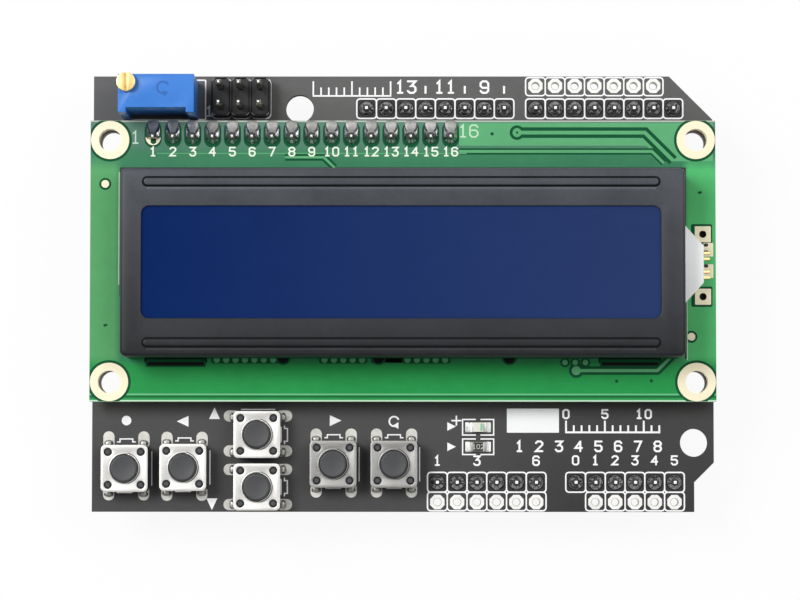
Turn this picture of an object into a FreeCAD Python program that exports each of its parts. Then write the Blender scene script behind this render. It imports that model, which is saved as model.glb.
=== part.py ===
import FreeCAD, Part
import os
from math import cos, pi, sin

# A display and keypad board that plugs on top of a microcontroller board.
# Millimetres, +Z up, +X to the right along the display, +Y towards the digital pins.
# The origin is the centre of the outline, on the plane that the plug pins stand on.

# Flat sides that stand for a round outline: studs, small holes, larger rounds and buttons
stud_sides = 6
small_sides = 8
large_sides = 16
button_sides = 24

# Square header pins and their plastic strips
pin_pitch = 2.54
pin_width = 0.64
pin_tip_width = 0.34
pin_tip_length = 0.6
strip_height = 2.54
strip_depth = 2.5
strip_notch = 0.55
plug_pin_reach = 6.0
soldered_pin_reach = 1.4

# Shield board: the keypad's length is from the left edge to the first power pin
keypad_length = 44.44
board_thickness = 1.6
header_row_spacing = 48.26
analog_edge_margin = 3.81
digital_edge_margin = 4.19
last_pin_from_right = 5.08
digital_header_gap = 4.06
analog_header_gap = 5.08
corner_cut = 5.6
notch_width = 2.54
notch_slope_rise = 2.54
shield_hole_diameter = 3.6
upper_hole_from_digital = 8.64
lower_hole_from_right = 2.54
lower_hole_above_analog = 5.08
digital_high_count = 8
digital_low_count = 8
power_count = 6
analog_count = 6

# Rows of open plated holes beside the headers
spare_hole_diameter = 1.05
spare_digital_offset = 2.96
spare_analog_offset = 2.54
spare_digital_count = 7
spare_power_count = 6
spare_analog_count = 5

# Display board
display_depth = 36.0
display_from_analog = 10.27
display_hole_inset = 2.5
display_hole_diameter = 3.0
shield_clearance_hole_diameter = 3.0
display_pin_count = 16
display_pin_from_left = 8.0
display_pin_from_edge = 2.1
display_strip_height = 2.54
side_pad_hole_diameter = 0.95
side_pad_hole_from_right = 1.65
side_pad_hole_spacing = 8.0

# Folded steel bezel
bezel_end_margin = 4.4
bezel_depth = 23.8
bezel_height = 7.0
bezel_sheet = 0.4
bezel_corner = 0.8
bezel_edge_radius = 0.35
bezel_offset_y = -0.6
window_end_margin = 3.0
window_side_margin = 4.8
window_radius = 1.0
rib_end_margin = 3.1
rib_width = 1.2
rib_height = 0.25
rib_draft = 0.2
rib_from_edge = 1.75
tab_length = 6.4
tab_spacing = 29.0
tab_fold = 1.6
slot_length = 8.0
slot_outer_room = 0.55
slot_inner_room = 0.25

# Glass, films and light guide inside the bezel
glass_room = 0.4
glass_ledge = 2.7
glass_thickness = 1.1
film_end_inset = 1.3
film_side_inset = 0.6
film_thickness = 0.2
diffuser_thickness = 0.15
zebra_end_inset = 1.8
zebra_width = 1.8
zebra_from_edge = 0.3
guide_side_inset = 0.4
tail_wide = 10.5
tail_narrow = 4.7
tail_height = 2.6
tail_reach = 2.65
tail_room = 0.1
led_housing_width = 3.8
led_housing_depth = 1.1
led_housing_height = 1.3
led_lead_width = 0.35
led_lead_thickness = 0.15
led_lead_length = 1.0
led_lead_pitch = 0.75
led_pair_spacing = 2.4

# Small parts on the back of the display board
blob_diameter = 14.0
blob_top_diameter = 11.0
blob_height = 1.2
blob_spacing = 30.0
display_resistor_count = 6
display_resistor_spacing = 2.2

# Programming header
icsp_columns = 3
icsp_rows = 2
icsp_from_hole = 5.02
icsp_pin_reach = 6.0

# Trimmer
trimmer_length = 9.6
trimmer_depth = 4.83
trimmer_height = 10.0
trimmer_standoff = 0.4
trimmer_foot = 1.2
trimmer_gap_to_icsp = 1.74
trimmer_from_top = 0.87
trimmer_recess_depth = 0.6
trimmer_recess_margin = 1.0
trimmer_lead_diameter = 0.5
trimmer_lead_reach = 1.2
screw_head_diameter = 2.4
screw_head_height = 0.9
screw_head_gap = 0.05
screw_shank_diameter = 1.6
screw_shank_length = 4.0
screw_shank_clearance = 0.05
screw_slot_width = 0.45
screw_slot_depth = 0.5
screw_from_corner = 1.07

# Push switches
switch_size = 6.0
switch_base_inset = 0.1
switch_base_height = 3.1
switch_cover_thickness = 0.25
switch_cover_corner = 0.55
switch_button_diameter = 3.5
switch_button_height = 4.3
switch_hole_gap = 0.12
switch_flange_diameter = 4.1
switch_flange_thickness = 0.5
switch_flange_play = 0.02
switch_well_gap = 0.12
switch_well_floor = 1.35
switch_post_diameter = 0.95
switch_post_spacing = 4.2
switch_post_proud = 0.06
switch_post_gap = 0.03
switch_tab_width = 2.2
switch_tab_drop = 1.5
switch_tab_room = 0.02
dome_diameter = 3.8
dome_top_diameter = 1.5
dome_height = 0.4
dome_sheet = 0.08
terminal_width = 0.7
terminal_thickness = 0.3
terminal_spacing = 4.5
terminal_span = 6.5
terminal_level = 0.55
terminal_reach = 1.3

# Switch name, its column as a share of the keypad's length, height above the analog row, quarter turns
switch_places = [
    ("select", 0.0995, 1.75, 0),
    ("left", 0.2678, 1.88, 0),
    ("up", 0.4804, 6.08, 1),
    ("down", 0.4804, -0.62, 1),
    ("right", 0.6998, 2.3, 0),
    ("reset", 0.8747, 2.3, 0),
]

# Chip parts
chip_length = 2.0
chip_width = 1.25
chip_height = 0.5
chip_cap_length = 0.35
chip_cap_wrap = 0.05
lamp_length = 1.3
lamp_height = 0.8
power_lamp_from_right = 30.31
power_lamp_above_analog = 7.07
lamp_resistor_drop = 2.51
ladder_count = 5
ladder_spacing = 3.4
ladder_from_left = 8.0
ladder_above_analog = 13.0
transistor_length = 2.9
transistor_width = 1.3
transistor_height = 1.0
transistor_lead_width = 0.4
transistor_lead_length = 0.55
transistor_lead_pitch = 0.95
transistor_lead_thickness = 0.12
transistor_from_left = 30.0

# Solder fillets round the pins
solder_width = 1.7
solder_top_width = 0.95
solder_height = 0.9
display_solder_length = 2.9

# Levels and lines worked out from the sizes above
header_strip_low = plug_pin_reach
shield_bottom = header_strip_low + strip_height
shield_top = shield_bottom + board_thickness
display_bottom = shield_top + display_strip_height
display_top = display_bottom + board_thickness
bezel_top = display_top + bezel_height
bezel_inside = bezel_top - bezel_sheet

plug_rows_length = (power_count + analog_count - 2) * pin_pitch + analog_header_gap
board_length = keypad_length + plug_rows_length + last_pin_from_right
shield_depth = analog_edge_margin + header_row_spacing + digital_edge_margin
left_edge = -board_length / 2
right_edge = board_length / 2
low_edge = -shield_depth / 2
high_edge = shield_depth / 2
analog_row = low_edge + analog_edge_margin
digital_row = high_edge - digital_edge_margin

display_low = analog_row + display_from_analog
display_high = display_low + display_depth
display_middle = (display_low + display_high) / 2
display_row = display_high - display_pin_from_edge
bezel_middle = display_middle + bezel_offset_y

bezel_length = board_length - 2 * bezel_end_margin
window_length = bezel_length - 2 * window_end_margin
window_depth = bezel_depth - 2 * window_side_margin
rib_length = bezel_length - 2 * rib_end_margin
rib_from_centre = bezel_depth / 2 - rib_from_edge
glass_length = bezel_length - 2 * (bezel_sheet + glass_room)
upper_glass_depth = bezel_depth - 2 * (bezel_sheet + glass_room)
lower_glass_depth = upper_glass_depth - 2 * glass_ledge
film_length = glass_length - 2 * film_end_inset
film_depth = lower_glass_depth - 2 * film_side_inset
zebra_length = glass_length - 2 * zebra_end_inset
zebra_from_centre = upper_glass_depth / 2 - zebra_from_edge - zebra_width / 2
guide_length = film_length
guide_depth = lower_glass_depth - 2 * guide_side_inset

last_pin = right_edge - last_pin_from_right


def row_of(count, last_x):
    """X of each pin of a row whose last pin is at last_x, from left to right."""
    first_x = last_x - (count - 1) * pin_pitch
    return [first_x + i * pin_pitch for i in range(count)]


digital_low_x = row_of(digital_low_count, last_pin)
digital_high_x = row_of(digital_high_count, digital_low_x[0] - digital_header_gap)
analog_x = row_of(analog_count, last_pin)
power_x = row_of(power_count, analog_x[0] - analog_header_gap)
display_x = [left_edge + display_pin_from_left + i * pin_pitch for i in range(display_pin_count)]
upper_hole_x = digital_high_x[0] - upper_hole_from_digital
icsp_x = row_of(icsp_columns, upper_hole_x - icsp_from_hole)
icsp_y = [digital_row + i * pin_pitch for i in range(icsp_rows)]
spare_digital = [(x, digital_row + spare_digital_offset) for x in digital_low_x[:spare_digital_count]]
spare_power = [(x, analog_row - spare_analog_offset) for x in power_x[:spare_power_count]]
spare_analog = [(x, analog_row - spare_analog_offset) for x in analog_x[-spare_analog_count:]]

trimmer_left = icsp_x[0] - pin_pitch / 2 - trimmer_gap_to_icsp - trimmer_length
trimmer_high = high_edge - trimmer_from_top
trimmer_middle_x = trimmer_left + trimmer_length / 2
trimmer_middle_y = trimmer_high - trimmer_depth / 2
trimmer_bottom = shield_top + trimmer_standoff
trimmer_top = shield_top + trimmer_height
trimmer_lead_x = [trimmer_middle_x + i * pin_pitch for i in (-1, 0, 1)]
screw_x = trimmer_left + screw_from_corner
screw_y = trimmer_high - screw_from_corner


def block(x_range, y_range, z_range):
    """A box between pairs of X, Y and Z values."""
    corner = FreeCAD.Vector(min(x_range), min(y_range), min(z_range))
    size = [abs(r[1] - r[0]) for r in (x_range, y_range, z_range)]
    return Part.makeBox(size[0], size[1], size[2], corner)


def centred_block(x, y, length, depth, z_range):
    """A box with its middle at x, y."""
    return block((x - length / 2, x + length / 2), (y - depth / 2, y + depth / 2), z_range)


def outline(points, z):
    """A closed wire through plan points, at height z."""
    corners = [FreeCAD.Vector(x, y, z) for x, y in points]
    return Part.makePolygon(corners + corners[:1])


def prism(points, z_range):
    """An upright solid on a plan outline."""
    low, high = z_range
    return Part.Face(outline(points, low)).extrude(FreeCAD.Vector(0, 0, high - low))


def flat_face(corners):
    """A flat face on a ring of corners."""
    return Part.Face(Part.makePolygon(corners + corners[:1]))


def loft(sections):
    """A flat-sided solid through plan outlines of equal count, each given with its height."""
    rings = [[FreeCAD.Vector(x, y, z) for x, y in points] for points, z in sections]
    faces = [flat_face(rings[0]), flat_face(rings[-1])]
    for low, high in zip(rings, rings[1:]):
        for i in range(len(low)):
            faces.append(flat_face([low[i - 1], low[i], high[i], high[i - 1]]))
    shell = Part.Shell(faces)
    shell.sewShape()
    solid = Part.Solid(shell)
    if solid.Volume < 0:
        solid.reverse()
    return solid


def rod(x, y, diameter, z_range):
    """An upright cylinder."""
    low, high = z_range
    return Part.makeCylinder(diameter / 2, high - low, FreeCAD.Vector(x, y, low))


def rectangle(x, y, width, length):
    """Corners of a rectangle in plan, length along Y."""
    w = width / 2
    h = length / 2
    return [(x - w, y - h), (x + w, y - h), (x + w, y + h), (x - w, y + h)]


def ring(x, y, diameter, sides):
    """Corners of a regular outline in plan, measured across its flats, for small round features."""
    r = diameter / 2 / cos(pi / sides)
    turns = [2 * pi * (i + 0.5) / sides for i in range(sides)]
    return [(x + r * cos(a), y + r * sin(a)) for a in turns]


def flat_rod(x, y, diameter, sides, z_range):
    """An upright rod with a few flat sides, which stands for a small round one."""
    return prism(ring(x, y, diameter, sides), z_range)


def rounded_plan(x, y, length, depth, radius, z_range):
    """An upright block with round corners in plan."""
    body = centred_block(x, y, length, depth, z_range)
    upright = [e for e in body.Edges if abs(e.Vertexes[0].Z - e.Vertexes[1].Z) > 1e-6]
    return body.makeFillet(radius, upright)


def through(x, y, diameter, z_range):
    """A round cutter that runs past both faces of a plate."""
    return rod(x, y, diameter, (z_range[0] - 1, z_range[1] + 1))


def flat_through(x, y, diameter, sides, z_range):
    """The same with a few flat sides."""
    return flat_rod(x, y, diameter, sides, (z_range[0] - 1, z_range[1] + 1))


def pin_cutter(x, y, z_range):
    """A square cutter of the pin's own section, past both faces."""
    return centred_block(x, y, pin_width, pin_width, (z_range[0] - 1, z_range[1] + 1))


def square_pin(x, y, blunt_end, tip_end):
    """A square pin between two heights, tapered at the second."""
    full = rectangle(x, y, pin_width, pin_width)
    tip = rectangle(x, y, pin_tip_width, pin_tip_width)
    shoulder = tip_end - pin_tip_length if tip_end > blunt_end else tip_end + pin_tip_length
    sections = [(full, blunt_end), (full, shoulder), (tip, tip_end)]
    return loft(sorted(sections, key=lambda section: section[1]))


def plain_strip(xs, y, depth, z_range):
    """A header's plastic strip without notches, with a square hole for each pin."""
    half = pin_pitch / 2
    body = block((xs[0] - half, xs[-1] + half), (y - depth / 2, y + depth / 2), z_range)
    return body.cut([pin_cutter(x, y, z_range) for x in xs])


def strip(xs, y, depth, z_range, rows_y):
    """A header's plastic strip, notched between its positions, with a square hole for each pin."""
    half = pin_pitch / 2
    near = y - depth / 2
    far = y + depth / 2
    low_side = []
    high_side = []
    for x in xs:
        low_side += [(x - half, near + strip_notch), (x - half + strip_notch, near)]
        low_side += [(x + half - strip_notch, near)]
        high_side += [(x - half, far - strip_notch), (x - half + strip_notch, far)]
        high_side += [(x + half - strip_notch, far)]
    end = xs[-1] + half
    low_side.append((end, near + strip_notch))
    high_side.append((end, far - strip_notch))
    body = prism(low_side + high_side[::-1], z_range)
    holes = [pin_cutter(x, row_y, z_range) for x in xs for row_y in rows_y]
    return body.cut(holes)


def shield_board():
    """The black board: outline with one cut corner and one stepped corner, and its holes."""
    step = right_edge - notch_width
    z = (shield_bottom, shield_top)
    body = prism(
        [
            (left_edge, low_edge),
            (step, low_edge),
            (step, analog_row),
            (right_edge, analog_row + notch_slope_rise),
            (right_edge, high_edge - corner_cut),
            (right_edge - corner_cut, high_edge),
            (left_edge, high_edge),
        ],
        z,
    )
    spare = spare_digital + spare_power + spare_analog
    cuts = [through(x, y, shield_hole_diameter, z) for x, y in shield_holes()]
    cuts += [flat_through(x, y, shield_clearance_hole_diameter, large_sides, z) for x, y in display_holes()]
    cuts += [flat_through(x, y, spare_hole_diameter, small_sides, z) for x, y in spare]
    cuts += [pin_cutter(x, y, z) for x, y in shield_pin_places() + icsp_places()]
    cuts += [pin_cutter(x, display_row, z) for x in display_x]
    for x in trimmer_lead_x:
        cuts.append(flat_through(x, trimmer_middle_y, trimmer_lead_diameter, small_sides, z))
    cuts += all_legs()
    return body.cut(cuts)


def shield_holes():
    """The two fixing holes that the display leaves clear."""
    upper = (upper_hole_x, digital_row)
    lower = (right_edge - lower_hole_from_right, analog_row + lower_hole_above_analog)
    return [upper, lower]


def display_holes():
    """The four fixing holes at the display board's corners."""
    xs = (left_edge + display_hole_inset, right_edge - display_hole_inset)
    ys = (display_low + display_hole_inset, display_high - display_hole_inset)
    return [(x, y) for x in xs for y in ys]


def shield_pin_places():
    """Plan positions of the pins that plug downwards."""
    digital = [(x, digital_row) for x in digital_high_x + digital_low_x]
    return digital + [(x, analog_row) for x in power_x + analog_x]


def icsp_places():
    """Plan positions of the programming header's pins."""
    return [(x, y) for x in icsp_x for y in icsp_y]


def tab_places():
    """X of each bezel tab, the wall's outer face in Y, and its outward direction."""
    half = bezel_depth / 2
    xs = (-tab_spacing, 0.0, tab_spacing)
    return [(x, bezel_middle + side * half, side) for side in (-1, 1) for x in xs]


def side_pad_holes():
    """The two lamp wire holes at the display board's right end."""
    x = right_edge - side_pad_hole_from_right
    half = side_pad_hole_spacing / 2
    return [(x, bezel_middle - half), (x, bezel_middle + half)]


def display_board():
    """The green board: fixing holes, header holes, lamp wire holes and slots for the bezel's tabs."""
    z = (display_bottom, display_top)
    body = block((left_edge, right_edge), (display_low, display_high), z)
    cuts = [through(x, y, display_hole_diameter, z) for x, y in display_holes()]
    cuts += [flat_through(x, y, side_pad_hole_diameter, small_sides, z) for x, y in side_pad_holes()]
    cuts += [pin_cutter(x, display_row, z) for x in display_x]
    for x, wall_y, side in tab_places():
        y_range = (wall_y + side * slot_outer_room, wall_y - side * (bezel_sheet + slot_inner_room))
        cuts.append(block((x - slot_length / 2, x + slot_length / 2), y_range, (z[0] - 1, z[1] + 1)))
    return body.cut(cuts)


def bezel_plan(inset):
    """The bezel's plan outline with its cut corners, moved inwards."""
    half_x = bezel_length / 2 - inset
    half_y = bezel_depth / 2 - inset
    c = bezel_corner - inset * (2 - 2**0.5)
    y = bezel_middle
    return [
        (-half_x + c, y - half_y),
        (half_x - c, y - half_y),
        (half_x, y - half_y + c),
        (half_x, y + half_y - c),
        (half_x - c, y + half_y),
        (-half_x + c, y + half_y),
        (-half_x, y + half_y - c),
        (-half_x, y - half_y + c),
    ]


def rib(y):
    """A raised bead along the bezel, narrower at its top."""
    half = rib_length / 2 - rib_width / 2

    def bead(width):
        r = width / 2
        arc = [pi * i / 4 - pi / 2 for i in range(5)]
        right = [(half + r * cos(a), y + r * sin(a)) for a in arc]
        left = [(-x, 2 * y - v) for x, v in right]
        return right + left

    return loft([(bead(rib_width), bezel_top), (bead(rib_width - 2 * rib_draft), bezel_top + rib_height)])


def display_bezel():
    """Folded steel bezel with its window, beads, light guide opening and bent tabs."""
    shell = prism(bezel_plan(0), (display_top, bezel_top))
    rim = [e for e in shell.Edges if all(abs(v.Z - bezel_top) < 1e-6 for v in e.Vertexes)]
    shell = shell.makeFillet(bezel_edge_radius, rim)
    hollow = prism(bezel_plan(bezel_sheet), (display_top - 1, bezel_inside))
    window = rounded_plan(
        0, bezel_middle, window_length, window_depth, window_radius, (bezel_inside - 1, bezel_top + 1)
    )
    wall_x = bezel_length / 2
    tail_y = (bezel_middle - tail_wide / 2 - tail_room, bezel_middle + tail_wide / 2 + tail_room)
    tail_z = (display_top - 1, display_top + tail_height + tail_room)
    tail_gate = block((wall_x - 2, wall_x + 1), tail_y, tail_z)
    shell = shell.cut([hollow, window, tail_gate])
    extras = [rib(bezel_middle + side * rib_from_centre) for side in (-1, 1)]
    for x, wall_y, side in tab_places():
        x_range = (x - tab_length / 2, x + tab_length / 2)
        inner = wall_y - side * bezel_sheet
        foot = (display_bottom - bezel_sheet, display_bottom)
        extras.append(block(x_range, (inner, wall_y), (foot[0], display_top)))
        extras.append(block(x_range, (inner - side * tab_fold, inner), foot))
    return shell.fuse(extras).removeSplitter()


front_film_z = (bezel_inside - film_thickness, bezel_inside)
upper_glass_z = (front_film_z[0] - glass_thickness, front_film_z[0])
lower_glass_z = (upper_glass_z[0] - glass_thickness, upper_glass_z[0])
rear_film_z = (lower_glass_z[0] - film_thickness, lower_glass_z[0])
diffuser_z = (rear_film_z[0] - diffuser_thickness, rear_film_z[0])
guide_z = (display_top, diffuser_z[0])
tail_end = bezel_length / 2 + tail_reach


def sheet_layer(length, depth, z_range):
    """A flat layer of the display, centred under the window."""
    return centred_block(0, bezel_middle, length, depth, z_range)


def zebra_strips():
    """The two rubber connectors between the upper glass and the board."""
    z = (display_top, upper_glass_z[0])
    ys = (bezel_middle - zebra_from_centre, bezel_middle + zebra_from_centre)
    return [centred_block(0, y, zebra_length, zebra_width, z) for y in ys]


def led_housing_z():
    """Height of the side lamp in the light guide's tail."""
    low = display_top + led_lead_thickness
    return (low, low + led_housing_height)


def light_guide():
    """White light guide with its tapered tail, which holds the side lamp."""
    body = centred_block(0, bezel_middle, guide_length, guide_depth, guide_z)
    root = guide_length / 2
    taper = bezel_length / 2
    wide = tail_wide / 2
    narrow = tail_narrow / 2
    y = bezel_middle
    tail = prism(
        [
            (root - 1, y - wide),
            (taper, y - wide),
            (tail_end, y - narrow),
            (tail_end, y + narrow),
            (taper, y + wide),
            (root - 1, y + wide),
        ],
        (display_top, display_top + tail_height),
    )
    pocket_x = (tail_end - led_housing_depth, tail_end + 1)
    half = led_housing_width / 2
    pocket = block(pocket_x, (y - half, y + half), (display_top - 1, led_housing_z()[1]))
    return body.fuse(tail).removeSplitter().cut(pocket)


def backlight_led():
    """Side lamp housing with two pairs of flat leads lying on the board."""
    y = bezel_middle
    housing_x = (tail_end - led_housing_depth, tail_end)
    half = led_housing_width / 2
    body = block(housing_x, (y - half, y + half), led_housing_z())
    leads = []
    for pair in (-1, 1):
        for side in (-1, 1):
            lead_y = y + pair * led_pair_spacing / 2 + side * led_lead_pitch / 2
            lead_x = (housing_x[0], tail_end + led_lead_length)
            lead_z = (display_top, display_top + led_lead_thickness)
            leads.append(block(lead_x, (lead_y - led_lead_width / 2, lead_y + led_lead_width / 2), lead_z))
    return body.fuse(leads).removeSplitter()


def controller_blobs():
    """Two epoxy mounds over the bare chips on the display board's back."""
    blobs = []
    for side in (-1, 1):
        x = side * blob_spacing / 2
        low = ring(x, bezel_middle, blob_top_diameter, large_sides)
        high = ring(x, bezel_middle, blob_diameter, large_sides)
        blobs.append(loft([(low, display_bottom - blob_height), (high, display_bottom)]))
    return blobs


def lamp_resistor():
    """The lamp's chip resistor, with end caps that wrap its body."""
    x = power_lamp_x
    y = power_lamp_y - lamp_resistor_drop
    core_size = (chip_length - 2 * chip_cap_wrap, chip_width - 2 * chip_cap_wrap)
    core = centred_block(x, y, core_size[0], core_size[1], (shield_top, shield_top + chip_height))
    caps = []
    for side in (-1, 1):
        cap_x = x + side * (chip_length - chip_cap_length) / 2
        cap_z = (shield_top, shield_top + chip_height + chip_cap_wrap)
        caps.append(centred_block(cap_x, y, chip_cap_length, chip_width, cap_z))
    return core.fuse(caps).removeSplitter()


def display_resistors():
    """A column of chip resistors between the mounds on the display board's back."""
    first = bezel_middle - (display_resistor_count - 1) * display_resistor_spacing / 2
    ys = [first + i * display_resistor_spacing for i in range(display_resistor_count)]
    z = (display_bottom - chip_height, display_bottom)
    return [centred_block(0, y, chip_length, chip_width, z) for y in ys]


def ladder_resistors():
    """The button ladder's row of chip resistors under the shield board."""
    y = analog_row + ladder_above_analog
    xs = [left_edge + ladder_from_left + i * ladder_spacing for i in range(ladder_count)]
    z = (shield_bottom - chip_height, shield_bottom)
    return [centred_block(x, y, chip_width, chip_length, z) for x in xs]


power_lamp_x = right_edge - power_lamp_from_right
power_lamp_y = analog_row + power_lamp_above_analog


def power_lamp():
    """Chip lamp: a flat base with a tapered clear lens."""
    x, y = power_lamp_x, power_lamp_y
    base = centred_block(x, y, chip_length, chip_width, (shield_top, shield_top + chip_height / 2))
    half = lamp_length / 2
    deep = chip_width / 2
    slope = 0.1
    low = [(x - half, y - deep), (x + half, y - deep), (x + half, y + deep), (x - half, y + deep)]
    high = [(v[0] + (slope if v[0] < x else -slope), v[1]) for v in low]
    lens = loft([(low, shield_top + chip_height / 2), (high, shield_top + lamp_height)])
    return base.fuse(lens).removeSplitter()


def backlight_transistor():
    """Three-legged chip transistor under the shield board."""
    x = left_edge + transistor_from_left
    y = analog_row + ladder_above_analog
    low = shield_bottom - transistor_height
    seat = shield_bottom - transistor_lead_thickness
    half_length = transistor_length / 2
    half_width = transistor_width / 2
    taper = 0.12
    top = [(x - half_length, y - half_width), (x + half_length, y - half_width)]
    top += [(x + half_length, y + half_width), (x - half_length, y + half_width)]
    base = [(v[0] + (taper if v[0] < x else -taper), v[1] + (taper if v[1] < y else -taper)) for v in top]
    body = loft([(base, low), (top, seat)])
    legs = []
    for lead_x, side in ((-transistor_lead_pitch, -1), (transistor_lead_pitch, -1), (0.0, 1)):
        tip = y + side * (half_width + transistor_lead_length)
        width = (x + lead_x - transistor_lead_width / 2, x + lead_x + transistor_lead_width / 2)
        legs.append(block(width, (y, tip), (seat, shield_bottom)))
    return body.fuse(legs).removeSplitter()


def trimmer_body():
    """Blue trimmer housing: recessed front, feet at its ends and the screw's bore."""
    x_range = (trimmer_left, trimmer_left + trimmer_length)
    y_range = (trimmer_high - trimmer_depth, trimmer_high)
    body = block(x_range, y_range, (trimmer_bottom, trimmer_top))
    feet = []
    for foot_x in (x_range[0], x_range[1] - trimmer_foot):
        feet.append(block((foot_x, foot_x + trimmer_foot), y_range, (shield_top, trimmer_bottom)))
    recess_x = (x_range[0] + trimmer_recess_margin, x_range[1] - trimmer_recess_margin)
    recess_y = (y_range[0] - 1, y_range[0] + trimmer_recess_depth)
    recess = block(recess_x, recess_y, (shield_top - 1, trimmer_top + 1))
    bore_z = (trimmer_top - screw_shank_length - screw_shank_clearance, trimmer_top + 1)
    bore = rod(screw_x, screw_y, screw_shank_diameter + 2 * screw_shank_clearance, bore_z)
    return body.fuse(feet).removeSplitter().cut([recess, bore])


def trimmer_screw():
    """Slotted brass adjusting screw."""
    head_low = trimmer_top + screw_head_gap
    head_high = head_low + screw_head_height
    head = rod(screw_x, screw_y, screw_head_diameter, (head_low, head_high))
    shank = rod(screw_x, screw_y, screw_shank_diameter, (trimmer_top - screw_shank_length, head_low))
    slot_z = (head_high - screw_slot_depth, head_high + 1)
    slot = centred_block(screw_x, screw_y, screw_slot_width, screw_head_diameter + 1, slot_z)
    return head.fuse(shank).removeSplitter().cut(slot)


def trimmer_leads():
    """The trimmer's three round leads."""
    z = (shield_bottom - trimmer_lead_reach, trimmer_bottom)
    return [flat_rod(x, trimmer_middle_y, trimmer_lead_diameter, small_sides, z) for x in trimmer_lead_x]


def post_places():
    """The four staked posts of a switch, round its middle."""
    half = switch_post_spacing / 2
    return [(sx * half, sy * half) for sx in (-1, 1) for sy in (-1, 1)]


def tab_recess(side, grow):
    """Where the cover's side tab lies, on one side of a switch standing at the origin."""
    half = switch_size / 2
    x = switch_tab_width / 2 + grow
    y_range = (side * half, side * (half - switch_cover_thickness))
    return block((-x, x), y_range, (switch_base_height - switch_tab_drop - grow, switch_base_height))


def switch_leg(side_x, side_y):
    """One bent leg from the housing's wall down through the board, for a switch at the origin."""
    x = side_x * terminal_spacing / 2 - terminal_width / 2
    wall = side_y * (switch_size / 2 - switch_base_inset)
    inner = side_y * (terminal_span - terminal_thickness) / 2
    outer = side_y * (terminal_span + terminal_thickness) / 2
    low = -board_thickness - terminal_reach
    over = terminal_level + terminal_thickness
    profile = [(wall, terminal_level), (wall, over), (outer, over), (outer, low), (inner, low)]
    profile.append((inner, terminal_level))
    side_view = [FreeCAD.Vector(x, y, z) for y, z in profile]
    return flat_face(side_view).extrude(FreeCAD.Vector(terminal_width, 0, 0))


def switch_legs():
    """The four legs of a switch at the origin."""
    return [switch_leg(side_x, side_y) for side_x in (-1, 1) for side_y in (-1, 1)]


def switch_base():
    """Black switch housing with its well, staked posts and room for the cover's tabs."""
    width = switch_size - 2 * switch_base_inset
    body = centred_block(0, 0, width, width, (0, switch_base_height))
    staked = switch_base_height + switch_cover_thickness + switch_post_proud
    post_z = (switch_base_height, staked)
    posts = [flat_rod(x, y, switch_post_diameter, stud_sides, post_z) for x, y in post_places()]
    well_z = (switch_well_floor, staked + 1)
    well = flat_rod(0, 0, switch_flange_diameter + 2 * switch_well_gap, large_sides, well_z)
    recesses = [tab_recess(side, switch_tab_room) for side in (-1, 1)]
    return body.fuse(posts).removeSplitter().cut([well] + recesses)


def switch_cover():
    """Pressed steel cover with the button's hole, four post holes and two side tabs."""
    z = (switch_base_height, switch_base_height + switch_cover_thickness)
    h = switch_size / 2
    c = h - switch_cover_corner
    plate = prism([(-c, -h), (c, -h), (h, -c), (h, c), (c, h), (-c, h), (-h, c), (-h, -c)], z)
    plate = plate.fuse([tab_recess(side, 0) for side in (-1, 1)]).removeSplitter()
    post_room = switch_post_diameter + 2 * switch_post_gap
    cuts = [flat_through(0, 0, switch_button_diameter + 2 * switch_hole_gap, large_sides, z)]
    cuts += [flat_through(x, y, post_room, stud_sides, z) for x, y in post_places()]
    return plate.cut(cuts)


dome_top = switch_well_floor + dome_height


def switch_button():
    """Round button with the flange that the cover holds in."""
    flange_top = switch_base_height - switch_flange_play
    stem = flat_rod(0, 0, switch_button_diameter, button_sides, (flange_top, switch_button_height))
    flange_low = flange_top - switch_flange_thickness
    flange = flat_rod(0, 0, switch_flange_diameter, large_sides, (flange_low, flange_top))
    foot = flat_rod(0, 0, dome_top_diameter, small_sides, (dome_top, flange_low))
    return stem.fuse([flange, foot]).removeSplitter()


def switch_dome():
    """Snap dome that returns the button, pressed from thin sheet."""
    shapes = []
    for inset in (0, dome_sheet):
        low = ring(0, 0, dome_diameter - 2 * inset, small_sides)
        high = ring(0, 0, dome_top_diameter - 2 * inset, small_sides)
        shapes.append(loft([(low, switch_well_floor), (high, dome_top - inset)]))
    return shapes[0].cut(shapes[1])


def at_switch(shape, place):
    """A switch piece moved from the origin to its place on the shield."""
    name, share, above_analog, quarter_turns = place
    moved = shape.copy()
    moved.rotate(FreeCAD.Vector(0, 0, 0), FreeCAD.Vector(0, 0, 1), 90 * quarter_turns)
    x = left_edge + share * keypad_length
    moved.translate(FreeCAD.Vector(x, analog_row + above_analog, shield_top))
    return moved


def all_legs():
    """The bent legs of every switch."""
    return [at_switch(leg, place) for place in switch_places for leg in switch_legs()]


def solder_fillet(x, y, length, pin_y, z):
    """A soldered joint's fillet on a pad at x, y, drawn up round the pin at pin_y."""
    low = rectangle(x, y, solder_width, length)
    high = rectangle(x, pin_y, solder_top_width, solder_top_width)
    hole = pin_cutter(x, pin_y, (z, z + solder_height))
    return loft([(low, z), (high, z + solder_height)]).cut(hole)


def solder_joints():
    """Fillets round the plug pins and the display pins."""
    joints = [solder_fillet(x, y, solder_width, y, shield_top) for x, y in shield_pin_places()]
    pad_middle = display_high - display_solder_length / 2
    for x in display_x:
        joints.append(solder_fillet(x, pad_middle, display_solder_length, display_row, display_top))
    return joints


def pins_at(places, blunt_end, tip_end):
    """One square pin at each place."""
    return [square_pin(x, y, blunt_end, tip_end) for x, y in places]


def save(name, shape):
    """Writes one node's STEP file. A list becomes one node of separate solids."""
    solids = Part.makeCompound(shape) if isinstance(shape, list) else shape
    solids.exportStep("parts/" + name + ".step")


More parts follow.
